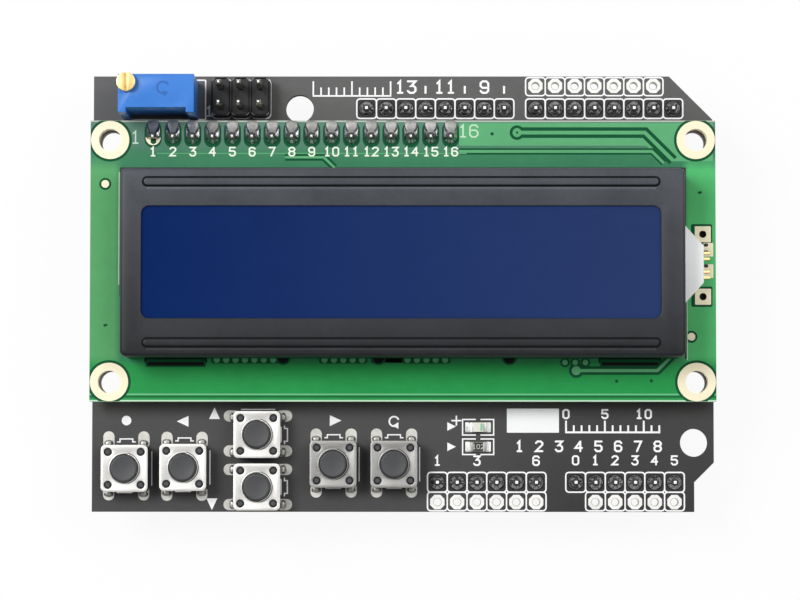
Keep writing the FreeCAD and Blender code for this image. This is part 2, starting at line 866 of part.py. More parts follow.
def save_switches():
    """Writes each switch's housing, cover, button and dome, and all the legs together."""
    pieces = [
        ("base", switch_base()),
        ("cover", switch_cover()),
        ("button", switch_button()),
        ("dome", switch_dome()),
    ]
    for place in switch_places:
        for piece, shape in pieces:
            save(place[0] + "_" + piece, at_switch(shape, place))
    save("switch_legs", all_legs())


def save_headers():
    """Writes the strips and pins of every header."""
    low_strip_z = (header_strip_low, shield_bottom)
    save("digital_high_strip", strip(digital_high_x, digital_row, strip_depth, low_strip_z, [digital_row]))
    save("digital_low_strip", strip(digital_low_x, digital_row, strip_depth, low_strip_z, [digital_row]))
    save("power_strip", strip(power_x, analog_row, strip_depth, low_strip_z, [analog_row]))
    save("analog_strip", strip(analog_x, analog_row, strip_depth, low_strip_z, [analog_row]))
    save("shield_pins", pins_at(shield_pin_places(), shield_top + soldered_pin_reach, 0))

    icsp_z = (shield_top, shield_top + strip_height)
    icsp_middle = (icsp_y[0] + icsp_y[-1]) / 2
    icsp_depth = strip_depth + (icsp_rows - 1) * pin_pitch
    save("icsp_strip", strip(icsp_x, icsp_middle, icsp_depth, icsp_z, icsp_y))
    under_shield = shield_bottom - soldered_pin_reach
    save("icsp_pins", pins_at(icsp_places(), under_shield, icsp_z[1] + icsp_pin_reach))

    display_strip_z = (shield_top, display_bottom)
    save("display_strip", plain_strip(display_x, display_row, strip_depth, display_strip_z))
    display_places = [(x, display_row) for x in display_x]
    save("display_pins", pins_at(display_places, under_shield, display_top + soldered_pin_reach))
    save("solder_joints", solder_joints())


def save_display():
    """Writes the display module's own pieces."""
    save("display_board", display_board())
    save("display_bezel", display_bezel())
    save("front_polariser", sheet_layer(film_length, film_depth, front_film_z))
    save("upper_glass", sheet_layer(glass_length, upper_glass_depth, upper_glass_z))
    save("lower_glass", sheet_layer(glass_length, lower_glass_depth, lower_glass_z))
    save("rear_polariser", sheet_layer(film_length, film_depth, rear_film_z))
    save("diffuser_film", sheet_layer(film_length, film_depth, diffuser_z))
    save("zebra_strips", zebra_strips())
    save("light_guide", light_guide())
    save("backlight_lamp", backlight_led())
    save("controller_blobs", controller_blobs())
    save("display_resistors", display_resistors())


def save_shield():
    """Writes the shield board and the parts soldered to it."""
    save("shield_board", shield_board())
    save("power_lamp", power_lamp())
    save("lamp_resistor", lamp_resistor())
    save("ladder_resistors", ladder_resistors())
    save("backlight_transistor", backlight_transistor())
    save("trimmer_body", trimmer_body())
    save("trimmer_screw", trimmer_screw())
    save("trimmer_leads", trimmer_leads())


os.makedirs("parts", exist_ok=True)
save_shield()
save_headers()
save_display()
save_switches()
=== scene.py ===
import math

import bmesh
import bpy
from mathutils import Matrix, Vector, noise


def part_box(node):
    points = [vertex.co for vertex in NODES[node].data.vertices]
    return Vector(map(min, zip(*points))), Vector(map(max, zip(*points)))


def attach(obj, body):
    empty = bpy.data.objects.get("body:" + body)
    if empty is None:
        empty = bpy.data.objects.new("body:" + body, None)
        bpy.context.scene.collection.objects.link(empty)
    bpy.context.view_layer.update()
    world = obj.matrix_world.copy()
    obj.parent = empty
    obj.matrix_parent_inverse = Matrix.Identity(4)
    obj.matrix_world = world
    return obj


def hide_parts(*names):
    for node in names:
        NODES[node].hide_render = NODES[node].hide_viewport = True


bl_info = {
    "name": "Keypad display shield",
    "version": (1, 0, 0),
    "blender": (4, 5, 0),
    "location": "3D View > Sidebar > Shield",
    "description": "Dresses the packed display and keypad board with its finishes and fine parts",
    "category": "Object",
}

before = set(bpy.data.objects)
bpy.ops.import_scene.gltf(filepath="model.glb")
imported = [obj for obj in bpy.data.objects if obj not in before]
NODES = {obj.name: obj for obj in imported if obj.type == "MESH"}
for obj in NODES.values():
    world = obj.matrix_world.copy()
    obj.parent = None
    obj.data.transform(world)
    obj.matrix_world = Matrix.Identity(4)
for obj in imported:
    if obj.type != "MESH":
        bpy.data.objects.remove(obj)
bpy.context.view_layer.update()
MM = 0.001


# ---------------------------------------------------------------- measures taken from the frame


def span(node):
    """Lowest and highest corner of a CAD node, in millimetres."""
    low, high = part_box(node)
    return low / MM, high / MM


def middle_of(node):
    low, high = span(node)
    return (low + high) / 2


def merged(node):
    """A copy of a CAD node's mesh in millimetres, with its corners joined."""
    bm = bmesh.new()
    bm.from_mesh(NODES[node].data)
    bmesh.ops.scale(bm, vec=(1 / MM,) * 3, verts=bm.verts)
    bmesh.ops.remove_doubles(bm, verts=bm.verts, dist=0.002)
    return bm


def solids(node):
    """Middle and size of each separate solid of a CAD node, in millimetres, from left to right."""
    bm = merged(node)
    found = []
    left = set(bm.verts)
    while left:
        group = [left.pop()]
        for v in group:
            for e in v.link_edges:
                other = e.other_vert(v)
                if other in left:
                    left.remove(other)
                    group.append(other)
        low = Vector(min(v.co[i] for v in group) for i in range(3))
        high = Vector(max(v.co[i] for v in group) for i in range(3))
        found.append(((low + high) / 2, high - low))
    bm.free()
    return sorted(found, key=lambda s: (round(s[0].x, 2), s[0].y))


BOARD_TOP = span("shield_board")[1].z
BOARD_LOW = span("shield_board")[0].z
PANEL_TOP = span("display_board")[1].z
BEZEL_LOW, BEZEL_HIGH = span("display_bezel")
BEZEL_MIDDLE = (BEZEL_LOW.y + BEZEL_HIGH.y) / 2
BEZEL_DEPTH = BEZEL_HIGH.y - BEZEL_LOW.y
BEAD_RISE = 0.25
BEZEL_SHEET_TOP = BEZEL_HIGH.z - BEAD_RISE
KEYS = ("select", "left", "up", "down", "right", "reset")
TURNED_KEYS = ("up", "down")

PIN_PITCH = 2.54
PIN_WIDTH = 0.64
LAYER = 0.003  # height between prints that cross, so that they don't fight
MOUNT_X = 37.5  # the display board's mounting holes, and how far they lie inside its edges
MOUNT_INSET = 2.5
OPEN_ROW_HIGH = 26.90
OPEN_ROW_LOW = -26.86
OPEN_HOLES = [(17.14 + PIN_PITCH * i, OPEN_ROW_HIGH) for i in range(7)]
for start, count in ((4.44, 6), (24.76, 5)):
    OPEN_HOLES += [(start + PIN_PITCH * i, OPEN_ROW_LOW) for i in range(count)]


# ---------------------------------------------------------------- settings


class ShieldColours(bpy.types.PropertyGroup):
    """Colours of the finishes."""

    shield: bpy.props.FloatVectorProperty(
        name="Shield mask", description="Solder mask of the shield board", subtype="COLOR", size=3, min=0, max=1,
        default=(0.058, 0.057, 0.057),
    )
    panel: bpy.props.FloatVectorProperty(
        name="Display mask", description="Solder mask of the display board", subtype="COLOR", size=3, min=0, max=1,
        default=(0.082, 0.340, 0.118),
    )
    ink: bpy.props.FloatVectorProperty(
        name="Board print", description="White print on both boards", subtype="COLOR", size=3, min=0, max=1,
        default=(0.90, 0.90, 0.91),
    )
    cover: bpy.props.FloatVectorProperty(
        name="Key covers", description="Pressed steel covers of the keys", subtype="COLOR", size=3, min=0, max=1,
        default=(0.69, 0.68, 0.655),
    )
    key: bpy.props.FloatVectorProperty(
        name="Key buttons", description="Moulded round buttons", subtype="COLOR", size=3, min=0, max=1,
        default=(0.054, 0.055, 0.058),
    )
    bezel: bpy.props.FloatVectorProperty(
        name="Bezel coat", description="Black coat of the folded bezel", subtype="COLOR", size=3, min=0, max=1,
        default=(0.0138, 0.0150, 0.0172),
    )
    screen: bpy.props.FloatVectorProperty(
        name="Screen", description="Colour of the unlit screen", subtype="COLOR", size=3, min=0, max=1,
        default=(0.0018, 0.0165, 0.099),
    )
    housing: bpy.props.FloatVectorProperty(
        name="Trimmer housing", description="Moulded housing of the trimmer", subtype="COLOR", size=3, min=0, max=1,
        default=(0.030, 0.180, 0.590),
    )


class ShieldSizes(bpy.types.PropertyGroup):
    """Sizes of the print and of the softened edges."""

    ink_height: bpy.props.FloatProperty(
        name="Print thickness", description="How far the print stands above a board", default=0.02 * MM,
        min=0.005 * MM, max=0.1 * MM, unit="LENGTH", precision=6,
    )
    ink_line: bpy.props.FloatProperty(
        name="Print line", description="Width of the printed lines", default=0.185 * MM,
        min=0.1 * MM, max=0.5 * MM, unit="LENGTH", precision=6,
    )
    pad_height: bpy.props.FloatProperty(
        name="Pad thickness", description="How far a bare pad stands above a board", default=0.035 * MM,
        min=0.01 * MM, max=0.1 * MM, unit="LENGTH", precision=6,
    )
    moulded_edge: bpy.props.FloatProperty(
        name="Moulded edge", description="Rounding of the moulded strips", default=0.07 * MM,
        min=0.01 * MM, max=0.2 * MM, unit="LENGTH", precision=6,
    )
    bezel_bend: bpy.props.FloatProperty(
        name="Bezel bend", description="Outer radius of the bezel's folds", default=0.5 * MM,
        min=0.2 * MM, max=1.0 * MM, unit="LENGTH", precision=6,
    )


def colours():
    return bpy.context.scene.shield_colours


def size(name):
    """A setting's length in millimetres."""
    return getattr(bpy.context.scene.shield_sizes, name) / MM


# ---------------------------------------------------------------- shapes, all in millimetres


def place(x=0.0, y=0.0, z=0.0, turn=0.0, scale=(1, 1, 1)):
    """A matrix that turns a shape round Z, in degrees, and sets it at x, y, z."""
    turned_by = Matrix.Rotation(math.radians(turn), 4, "Z")
    return Matrix.Translation((x, y, z)) @ turned_by @ Matrix.Diagonal((*scale, 1))


def put(target, shape, matrix=None, finish=None, keep=False):
    """Adds a shape to another at a place, with all its faces in one finish if that is given."""
    if finish is not None:
        for f in shape.faces:
            f.material_index = finish
    mesh = bpy.data.meshes.new("shape")
    shape.to_mesh(mesh)
    if matrix is not None:
        mesh.transform(matrix)
    target.from_mesh(mesh)
    bpy.data.meshes.remove(mesh)
    if not keep:
        shape.free()


def soften(bm, edges, width, steps=2):
    if edges:
        bmesh.ops.bevel(
            bm, geom=edges, offset=width, offset_type="OFFSET", segments=steps, profile=0.5,
            affect="EDGES", material=-1, clamp_overlap=True,
        )


def level_edges(bm, z):
    """Edges that lie on one level and turn a corner there."""
    on_level = [e for e in bm.edges if all(abs(v.co.z - z) < 1e-4 for v in e.verts)]
    return [e for e in on_level if len(e.link_faces) == 2 and e.calc_face_angle(0) > 0.5]


def lift(bm, height, soft=0.0, steps=2):
    """Makes the flat faces a closed solid of that height, with its upper rim softened."""
    made = bmesh.ops.extrude_face_region(bm, geom=bm.faces[:])
    top = [v for v in made["geom"] if isinstance(v, bmesh.types.BMVert)]
    bmesh.ops.translate(bm, vec=(0, 0, height), verts=top)
    bmesh.ops.recalc_face_normals(bm, faces=bm.faces)
    if soft:
        soften(bm, level_edges(bm, height), soft, steps)
    return bm


def sheet(width, depth, radius=0.0, steps=3):
    """A flat face with round corners."""
    bm = bmesh.new()
    bmesh.ops.create_grid(bm, x_segments=1, y_segments=1, size=0.5)
    bmesh.ops.scale(bm, vec=(width, depth, 1), verts=bm.verts)
    if radius:
        bmesh.ops.bevel(
            bm, geom=bm.verts[:], offset=radius, offset_type="OFFSET", segments=steps, profile=0.5,
            affect="VERTICES", material=-1,
        )
        bmesh.ops.remove_doubles(bm, verts=bm.verts, dist=1e-4)
    return bm


def slab(width, depth, height, radius=0.0, soft=0.0, steps=3):
    """A low block with round corners and a softened upper rim."""
    return lift(sheet(width, depth, radius, steps), height, soft)


def disc(radius, height, sides=20, soft=0.0):
    bm = bmesh.new()
    bmesh.ops.create_circle(bm, cap_ends=True, radius=radius, segments=sides)
    return lift(bm, height, soft)


def washer(outer, inner, height, sides=28, inner_sides=None, turn=0.0):
    """A flat ring. Its outline may have fewer sides than its hole."""
    bm = bmesh.new()
    bmesh.ops.create_circle(bm, radius=outer, segments=sides, matrix=place(turn=turn))
    bmesh.ops.create_circle(bm, radius=inner, segments=inner_sides or sides)
    bmesh.ops.bridge_loops(bm, edges=bm.edges[:])
    return lift(bm, height)


def frame_line(width, depth, radius, line):
    """A printed outline with round corners, its line centred on the given size, as flat faces."""
    bm = sheet(width + line, depth + line, radius + line / 2)
    inner = sheet(width - line, depth - line, max(radius - line / 2, 0.02))
    put(bm, inner)
    bmesh.ops.delete(bm, geom=bm.faces[:], context="FACES_ONLY")
    bmesh.ops.bridge_loops(bm, edges=bm.edges[:])
    return bm


def ribbon(points, width, height):
    """A flat line of even width along points, closed where the last point is the first."""
    path = [Vector((x, y, 0)) for x, y in points]
    closed = (path[0] - path[-1]).length < 1e-6
    bm = bmesh.new()
    pair = None
    for i, p in enumerate(path):
        before = path[i - 1] if i else (path[-2] if closed else None)
        after = path[i + 1] if i + 1 < len(path) else (path[1] if closed else None)
        into = (p - before).normalized() if before else (after - p).normalized()
        out = (after - p).normalized() if after else into
        along = (into + out).normalized()
        side = Vector((-along.y, along.x, 0)) * (width / 2 / max(along.dot(into), 0.35))
        if pair is None:
            pair = [bm.verts.new(p + side), bm.verts.new(p - side)]
            edge = bm.edges.new(pair)
            continue
        made = bmesh.ops.extrude_edge_only(bm, edges=[edge])["geom"]
        new = [g for g in made if isinstance(g, bmesh.types.BMVert)]
        pair = [next(n for n in new if any(e.other_vert(n) is old for e in n.link_edges)) for old in pair]
        pair[0].co, pair[1].co = p + side, p - side
        edge = next(e for e in pair[0].link_edges if e.other_vert(pair[0]) is pair[1])
    bmesh.ops.remove_doubles(bm, verts=bm.verts, dist=1e-5)
    return lift(bm, height)


def turned(profile, sides=24):
    """A turned solid from (radius, height) points."""
    bm = bmesh.new()
    verts = [bm.verts.new((r, 0, z)) for r, z in profile]
    edges = [bm.edges.new(pair) for pair in zip(verts, verts[1:])]
    if profile[0][0] > 0:
        edges.append(bm.edges.new((verts[-1], verts[0])))
    bmesh.ops.spin(
        bm, geom=verts + edges, cent=(0, 0, 0), axis=(0, 0, 1), angle=2 * math.pi, steps=sides, use_merge=True
    )
    bmesh.ops.remove_doubles(bm, verts=bm.verts, dist=1e-5)
    bmesh.ops.recalc_face_normals(bm, faces=bm.faces)
    return bm


def pierced(outline, holes, height, soft=0.0):
    """A plate from a flat face, with round holes given as (x, y, radius, sides)."""
    bm = outline
    bmesh.ops.delete(bm, geom=bm.faces[:], context="FACES_ONLY")
    for x, y, radius, sides in holes:
        bmesh.ops.create_circle(bm, radius=radius, segments=sides, matrix=place(x, y))
    bmesh.ops.triangle_fill(bm, edges=bm.edges[:], use_beauty=True, normal=(0, 0, 1))
    return lift(bm, height, soft)


def softened(node, width, steps=2, corner=30):
    """A copy of a CAD node with its sharp edges rounded."""
    bm = merged(node)
    bmesh.ops.dissolve_limit(bm, angle_limit=math.radians(1), verts=bm.verts, edges=bm.edges)
    sharp = [e for e in bm.edges if len(e.link_faces) == 2 and e.calc_face_angle(0) > math.radians(corner)]
    soften(bm, sharp, width, steps)
    return bm


def bead(length, width, rises):
    """A raised bead along X with round ends.

    Its rings are (half width, height, finish of the band below it), from its foot to its crest."""
    half = length / 2 - width / 2
    bm = sheet(length, width, width / 2 - 0.01, 6)
    top = bm.faces[:]
    size_now = width / 2
    for i, (ring, height, kind) in enumerate(rises):
        old = top
        made = bmesh.ops.extrude_face_region(bm, geom=old)["geom"]
        if i:
            bmesh.ops.delete(bm, geom=[f for f in old if f.is_valid], context="FACES_ONLY")
        top = [g for g in made if isinstance(g, bmesh.types.BMFace)]
        for f in {f for t in top for e in t.edges for f in e.link_faces} - set(top):
            f.material_index = kind
        for v in (g for g in made if isinstance(g, bmesh.types.BMVert)):
            spine = Vector((max(-half, min(half, v.co.x)), 0, 0))
            flat = Vector((v.co.x, v.co.y, 0)) - spine
            v.co = spine + flat * (ring / size_now) + Vector((0, 0, height))
        size_now = ring
    return bm


def make_piece(name, bm, finishes, body="root", replaces=(), smooth=38):
    """Turns a shape in millimetres into a piece of the scene that rides a body."""
    bmesh.ops.recalc_face_normals(bm, faces=bm.faces)
    for f in bm.faces:
        f.smooth = True
    for e in bm.edges:
        e.smooth = len(e.link_faces) == 2 and e.calc_face_angle(0) < math.radians(smooth)
    bmesh.ops.scale(bm, vec=(MM,) * 3, verts=bm.verts)
    mesh = bpy.data.meshes.new(name)
    bm.to_mesh(mesh)
    bm.free()
    for finish in finishes:
        mesh.materials.append(finish)
    piece = bpy.data.objects.new(name, mesh)
    bpy.context.scene.collection.objects.link(piece)
    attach(piece, body)
    if replaces:
        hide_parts(*replaces)
    return piece


def arc(radius, start, end, step=20):
    """Points on an arc round the origin, from one angle to another in degrees."""
    angles = [math.radians(a) for a in range(start, end + 1, step)]
    return [(radius * math.cos(a), radius * math.sin(a)) for a in angles]


# Strokes of the plain figures, on a field 4 wide and 6 high
FIGURES = {
    "0": [[(1, 0), (3, 0), (4, 1), (4, 5), (3, 6), (1, 6), (0, 5), (0, 1), (1, 0)]],
    "1": [[(0.9, 4.9), (2, 6), (2, 0)], [(0.8, 0), (3.2, 0)]],
    "2": [[(0, 5), (1, 6), (3, 6), (4, 5), (4, 4), (0, 0), (4, 0)]],
    "3": [[(0, 6), (4, 6), (1.8, 3.6), (3, 3.6), (4, 2.6), (4, 1), (3, 0), (1, 0), (0, 1)]],
    "4": [[(3, 0), (3, 6)], [(3, 6), (0, 2), (4, 2)]],
    "5": [[(4, 6), (0.2, 6), (0, 3.5), (3, 3.5), (4, 2.6), (4, 1), (3, 0), (1, 0), (0, 1)]],
    "6": [[(4, 5), (3, 6), (1, 6), (0, 5), (0, 1), (1, 0), (3, 0), (4, 1), (4, 2.4), (3, 3.4), (0, 3.4)]],
    "7": [[(0, 6), (4, 6), (1.4, 0)]],
    "8": [
        [(1, 3.2), (0, 4.2), (0, 5), (1, 6), (3, 6), (4, 5), (4, 4.2), (3, 3.2), (1, 3.2)],
        [(1, 3.2), (0, 2.2), (0, 1), (1, 0), (3, 0), (4, 1), (4, 2.2), (3, 3.2)],
    ],
    "9": [[(0, 1), (1, 0), (3, 0), (4, 1), (4, 5), (3, 6), (1, 6), (0, 5), (0, 3.6), (1, 2.6), (4, 2.6)]],
    "+": [[(2, 1), (2, 5)], [(0, 3), (4, 3)]],
}


def figures(bm, text, x, y, height, line, z, finish=0, thick=0.02):
    """Prints plain figures with their middle at x, y."""
    unit = (height - line) / 6
    step = 4 * unit + line * 1.9
    start = x - (len(text) - 1) * step / 2 - 2 * unit
    for i, letter in enumerate(text):
        for k, stroke in enumerate(FIGURES[letter]):
            points = [(start + i * step + u * unit, y + (v - 3) * unit) for u, v in stroke]
            put(bm, ribbon(points, line, thick + LAYER * k), place(z=z), finish)
            if stroke[0] != stroke[-1]:
                for px, py in (points[0], points[-1]):
                    put(bm, disc(line / 2, thick + LAYER / 3 + LAYER * k, 8), place(px, py, z), finish)


def arrow(width, height, thick):
    """A filled triangle that points along +X."""
    bm = bmesh.new()
    bmesh.ops.create_circle(bm, cap_ends=True, radius=1, segments=3, matrix=place(turn=-90))
    low = min(v.co.x for v in bm.verts)
    wide = max(v.co.y for v in bm.verts)
    bmesh.ops.scale(bm, vec=(width / (1 - low), height / 2 / wide, 1), verts=bm.verts)
    return lift(bm, thick)


# ---------------------------------------------------------------- finishes


def tint(rgb):
    return (*rgb, 1.0)


def srgb(code):
    """A colour from its web code, as Blender's linear values."""
    parts = [int(code[i:i + 2], 16) / 255 for i in (0, 2, 4)]
    return tuple(p / 12.92 if p <= 0.04045 else ((p + 0.055) / 1.055) ** 2.4 for p in parts)


def node(tree, kind, **values):
    made = tree.nodes.new(kind)
    for key, value in values.items():
        if hasattr(made, key):
            setattr(made, key, value)
        else:
            made.inputs[key.replace("_", " ")].default_value = value
    return made


def group_tree(name, inputs, outputs):
    """An empty node group with float and vector inputs and float outputs."""
    tree = bpy.data.node_groups.new(name, "ShaderNodeTree")
    for label, kind, value in inputs:
        socket = tree.interface.new_socket(name=label, in_out="INPUT", socket_type=kind)
        if kind == "NodeSocketFloat":
            socket.default_value = value
    for label in outputs:
        tree.interface.new_socket(name=label, in_out="OUTPUT", socket_type="NodeSocketFloat")
    return tree, tree.nodes.new("NodeGroupInput"), tree.nodes.new("NodeGroupOutput")


def math_node(tree, operation, a, b=None, clamp=False):
    made = tree.nodes.new("ShaderNodeMath")
    made.operation = operation
    made.use_clamp = clamp
    for i, value in enumerate((a, b)):
        if value is None:
            continue
        if isinstance(value, (int, float)):
            made.inputs[i].default_value = value
        else:
            tree.links.new(value, made.inputs[i])
    return made.outputs[0]


def tone_group(name, fine, cloud, cloud_scale, fine_share, stretch=None):
    """A tone and a relief from a fine noise and a cloudy one, each given as (detail, roughness)."""
    if name in bpy.data.node_groups:
        return bpy.data.node_groups[name]
    tree, given, result = group_tree(
        name, [("Vector", "NodeSocketVector", 0), ("Scale", "NodeSocketFloat", 2000.0)], ("Tone", "Height")
    )
    small = node(tree, "ShaderNodeTexNoise", Detail=fine[0], Roughness=fine[1])
    large = node(tree, "ShaderNodeTexNoise", Detail=cloud[0], Roughness=cloud[1])
    where = given.outputs["Vector"]
    tree.links.new(where, large.inputs["Vector"])
    if stretch:
        mapping = node(tree, "ShaderNodeMapping", vector_type="POINT")
        mapping.inputs["Scale"].default_value = stretch
        tree.links.new(where, mapping.inputs["Vector"])
        where = mapping.outputs["Vector"]
    tree.links.new(where, small.inputs["Vector"])
    tree.links.new(given.outputs["Scale"], small.inputs["Scale"])
    tree.links.new(math_node(tree, "MULTIPLY", given.outputs["Scale"], cloud_scale), large.inputs["Scale"])
    sharp = math_node(tree, "MULTIPLY", small.outputs["Fac"], fine_share)
    soft = math_node(tree, "MULTIPLY", large.outputs["Fac"], 1 - fine_share)
    spread = math_node(tree, "SUBTRACT", math_node(tree, "ADD", soft, sharp), 0.3)
    tree.links.new(math_node(tree, "MULTIPLY", spread, 2.5, clamp=True), result.inputs["Tone"])
    tree.links.new(small.outputs["Fac"], result.inputs["Height"])
    return tree


def grain_group():
    """Cloudy tone and a fine, even grain."""
    return tone_group("Fine grain", (2.0, 0.6), (3.0, 0.55), 0.09, 0.35)


def brushed_group():
    """Long fine lines along X, as on rolled or brushed sheet."""
    return tone_group("Brushed lines", (3.0, 0.65), (2.0, 0.5), 0.12, 0.6, (0.12, 1.0, 1.0))


def facing_group():
    """How far a face looks up or down, for boards whose cut edges differ from their faces."""
    name = "Flat side"
    if name in bpy.data.node_groups:
        return bpy.data.node_groups[name]
    tree, given, result = group_tree(name, [("Normal", "NodeSocketVector", 0)], ("Flat",))
    parts = tree.nodes.new("ShaderNodeSeparateXYZ")
    tree.links.new(given.outputs["Normal"], parts.inputs[0])
    flat = math_node(tree, "ABSOLUTE", parts.outputs["Z"])
    tree.links.new(math_node(tree, "GREATER_THAN", flat, 0.7), result.inputs["Flat"])
    return tree


def placed_group(tree, group):
    made = tree.nodes.new("ShaderNodeGroup")
    made.node_tree = group
    return made


def mixed(tree, factor, first, second):
    """A colour between two colours or sockets."""
    made = tree.nodes.new("ShaderNodeMix")
    made.data_type = "RGBA"
    tree.links.new(factor, made.inputs[0])
    for value, slot in ((first, 6), (second, 7)):
        if isinstance(value, (tuple, list)):
            made.inputs[slot].default_value = tint(value)
        else:
            tree.links.new(value, made.inputs[slot])
    return made.outputs[2]


def ranged(tree, value, low, high):
    made = tree.nodes.new("ShaderNodeMapRange")
    tree.links.new(value, made.inputs["Value"])
    made.inputs["To Min"].default_value = low
    made.inputs["To Max"].default_value = high
    return made.outputs["Result"]


def finish(name, dark, light, rough, metal=0.0, scale=2500.0, bump=0.004, lines=False, coat=0.0, coat_rough=0.1,
           ior=1.45, clear=0.0, specular=0.5, far=None):
    """A finish with a tone between two colours, a roughness range and a fine relief.

    far is (axis, from, to, factor): the tone changes along an axis between two places in millimetres, a painted
    gradient of light and shade."""
    if name in bpy.data.materials:
        return bpy.data.materials[name]
    material = bpy.data.materials.new(name)
    material.use_nodes = True
    tree = material.node_tree
    shader = tree.nodes["Principled BSDF"]
    shader.inputs["Metallic"].default_value = metal
    shader.inputs["Coat Weight"].default_value = coat
    shader.inputs["Coat Roughness"].default_value = coat_rough
    shader.inputs["IOR"].default_value = ior
    shader.inputs["Transmission Weight"].default_value = clear
    shader.inputs["Specular IOR Level"].default_value = specular
    where = tree.nodes.new("ShaderNodeTexCoord")
    grain = placed_group(tree, brushed_group() if lines else grain_group())
    grain.inputs["Scale"].default_value = scale
    tree.links.new(where.outputs["Object"], grain.inputs["Vector"])
    colour = mixed(tree, grain.outputs["Tone"], dark, light)
    if far:
        axis, start, end, factor = far
        parts = tree.nodes.new("ShaderNodeSeparateXYZ")
        tree.links.new(where.outputs["Object"], parts.inputs[0])
        other = mixed(tree, grain.outputs["Tone"], toned(dark, factor), toned(light, factor))
        colour = mixed(tree, along(tree, parts.outputs[axis], start, end), colour, other)
    tree.links.new(colour, shader.inputs["Base Color"])
    tree.links.new(ranged(tree, grain.outputs["Tone"], rough[0], rough[1]), shader.inputs["Roughness"])
    relief = node(tree, "ShaderNodeBump", Strength=1.0, Distance=bump * MM)
    tree.links.new(grain.outputs["Height"], relief.inputs["Height"])
    tree.links.new(relief.outputs["Normal"], shader.inputs["Normal"])
    return material


def toned(rgb, factor):
    return tuple(min(1.0, c * factor) for c in rgb)


def plain(name, rgb, rough=(0.4, 0.5), spread=0.12, **more):
    """A finish whose tone wanders a little round one colour."""
    return finish(name, toned(rgb, 1 - spread), toned(rgb, 1 + spread), rough, **more)


def along(tree, coordinate, start, end):
    """A mask that rises from 0 to 1 between two values of a coordinate, in millimetres."""
    made = tree.nodes.new("ShaderNodeMapRange")
    tree.links.new(coordinate, made.inputs["Value"])
    made.inputs["From Min"].default_value = start * MM
    made.inputs["From Max"].default_value = end * MM
    return made.outputs["Result"]


def axis_band(tree, coordinate, middle, width, soft):
    """A mask that is 1 near one value of a coordinate, in millimetres, and fades over a soft edge."""
    away = math_node(tree, "ABSOLUTE", math_node(tree, "SUBTRACT", coordinate, middle * MM))
    made = tree.nodes.new("ShaderNodeMapRange")
    tree.links.new(away, made.inputs["Value"])
    made.inputs["From Min"].default_value = (width / 2 + soft) * MM
    made.inputs["From Max"].default_value = width / 2 * MM
    return made.outputs["Result"]


def board_finish(name, face, edge, rough, fields=(), scale=900.0, rims=(), gloss=0.5):
    """Solder mask on both sides of a board, with glass fibre at its cut edges.

    Each field is (axis, from, to, colour): painted light and shade, which turns the mask to that colour between two
    places in millimetres.
    Each rim is (axis, place, width, colour): a narrow band of another colour along one line."""
    if name in bpy.data.materials:
        return bpy.data.materials[name]
    material = bpy.data.materials.new(name)
    material.use_nodes = True
    tree = material.node_tree
    shader = tree.nodes["Principled BSDF"]
    shader.inputs["Specular IOR Level"].default_value = gloss
    where = tree.nodes.new("ShaderNodeTexCoord")
    about = tree.nodes.new("ShaderNodeNewGeometry")
    side = placed_group(tree, facing_group())
    tree.links.new(about.outputs["Normal"], side.inputs["Normal"])
    grain = placed_group(tree, grain_group())
    grain.inputs["Scale"].default_value = scale
    tree.links.new(where.outputs["Object"], grain.inputs["Vector"])
    parts = tree.nodes.new("ShaderNodeSeparateXYZ")
    tree.links.new(where.outputs["Object"], parts.inputs[0])
    colour = mixed(tree, grain.outputs["Tone"], toned(face, 0.9), toned(face, 1.1))
    for axis, start, end, other in fields:
        far = mixed(tree, grain.outputs["Tone"], toned(other, 0.9), toned(other, 1.1))
        colour = mixed(tree, along(tree, parts.outputs[axis], start, end), colour, far)
    for axis, middle, width, other in rims:
        colour = mixed(tree, axis_band(tree, parts.outputs[axis], middle, width, 0.05), colour, other)
    layers = node(tree, "ShaderNodeTexWave", wave_type="BANDS", bands_direction="Z")
    layers.inputs["Scale"].default_value = 900.0
    layers.inputs["Distortion"].default_value = 1.5
    tree.links.new(where.outputs["Object"], layers.inputs["Vector"])
    fibre = mixed(tree, layers.outputs["Fac"], toned(edge, 0.75), toned(edge, 1.15))
    tree.links.new(mixed(tree, side.outputs["Flat"], fibre, colour), shader.inputs["Base Color"])
    smooth = ranged(tree, grain.outputs["Tone"], rough[0], rough[1])
    matt = math_node(tree, "MULTIPLY", math_node(tree, "SUBTRACT", 1.0, side.outputs["Flat"]), 0.35)
    tree.links.new(math_node(tree, "ADD", smooth, matt), shader.inputs["Roughness"])
    relief = node(tree, "ShaderNodeBump", Strength=1.0, Distance=0.006 * MM)
    tree.links.new(grain.outputs["Height"], relief.inputs["Height"])
    tree.links.new(relief.outputs["Normal"], shader.inputs["Normal"])
    return material


def dress(names, material):
    """Gives CAD nodes a finish of their own."""
    for name in names:
        slots = NODES[name].data.materials
        slots.clear()
        slots.append(material)


def ink():
    c = tuple(colours().ink)
    return finish("Board print", toned(c, 0.93), toned(c, 1.04), (0.55, 0.7), scale=5000.0, bump=0.002)


def bright_tin():
    return plain("Bright tin", (0.80, 0.80, 0.80), (0.42, 0.58), 0.06, metal=1.0, scale=4200.0, bump=0.006)


def pad_tin():
    return finish("Levelled pads", srgb("dfdeda"), srgb("f2f1ee"), (0.4, 0.6), metal=0.25, scale=3600.0, bump=0.01)


def key_pad_tin():
    return finish("Key pads", srgb("b9b8b2"), srgb("dcdad4"), (0.4, 0.6), metal=0.4, scale=3600.0, bump=0.02)


# Painted shade: a near-black finish on the top of each joint and on the pins' softened sides just under their ends,
# standing in for the dark reflections on the solder.
def crown():
    return plain("Joint crown", (0.060, 0.060, 0.062), (0.5, 0.65), 0.15, metal=0.3, scale=3000.0, specular=0.25)


def solder():
    return plain("Solder", (0.38, 0.38, 0.39), (0.12, 0.26), 0.14, metal=1.0, scale=1800.0, bump=0.012)


def pin_metal():
    return plain("Pin plating", (0.46, 0.44, 0.38), (0.20, 0.32), 0.10, metal=1.0, scale=3500.0, bump=0.003)
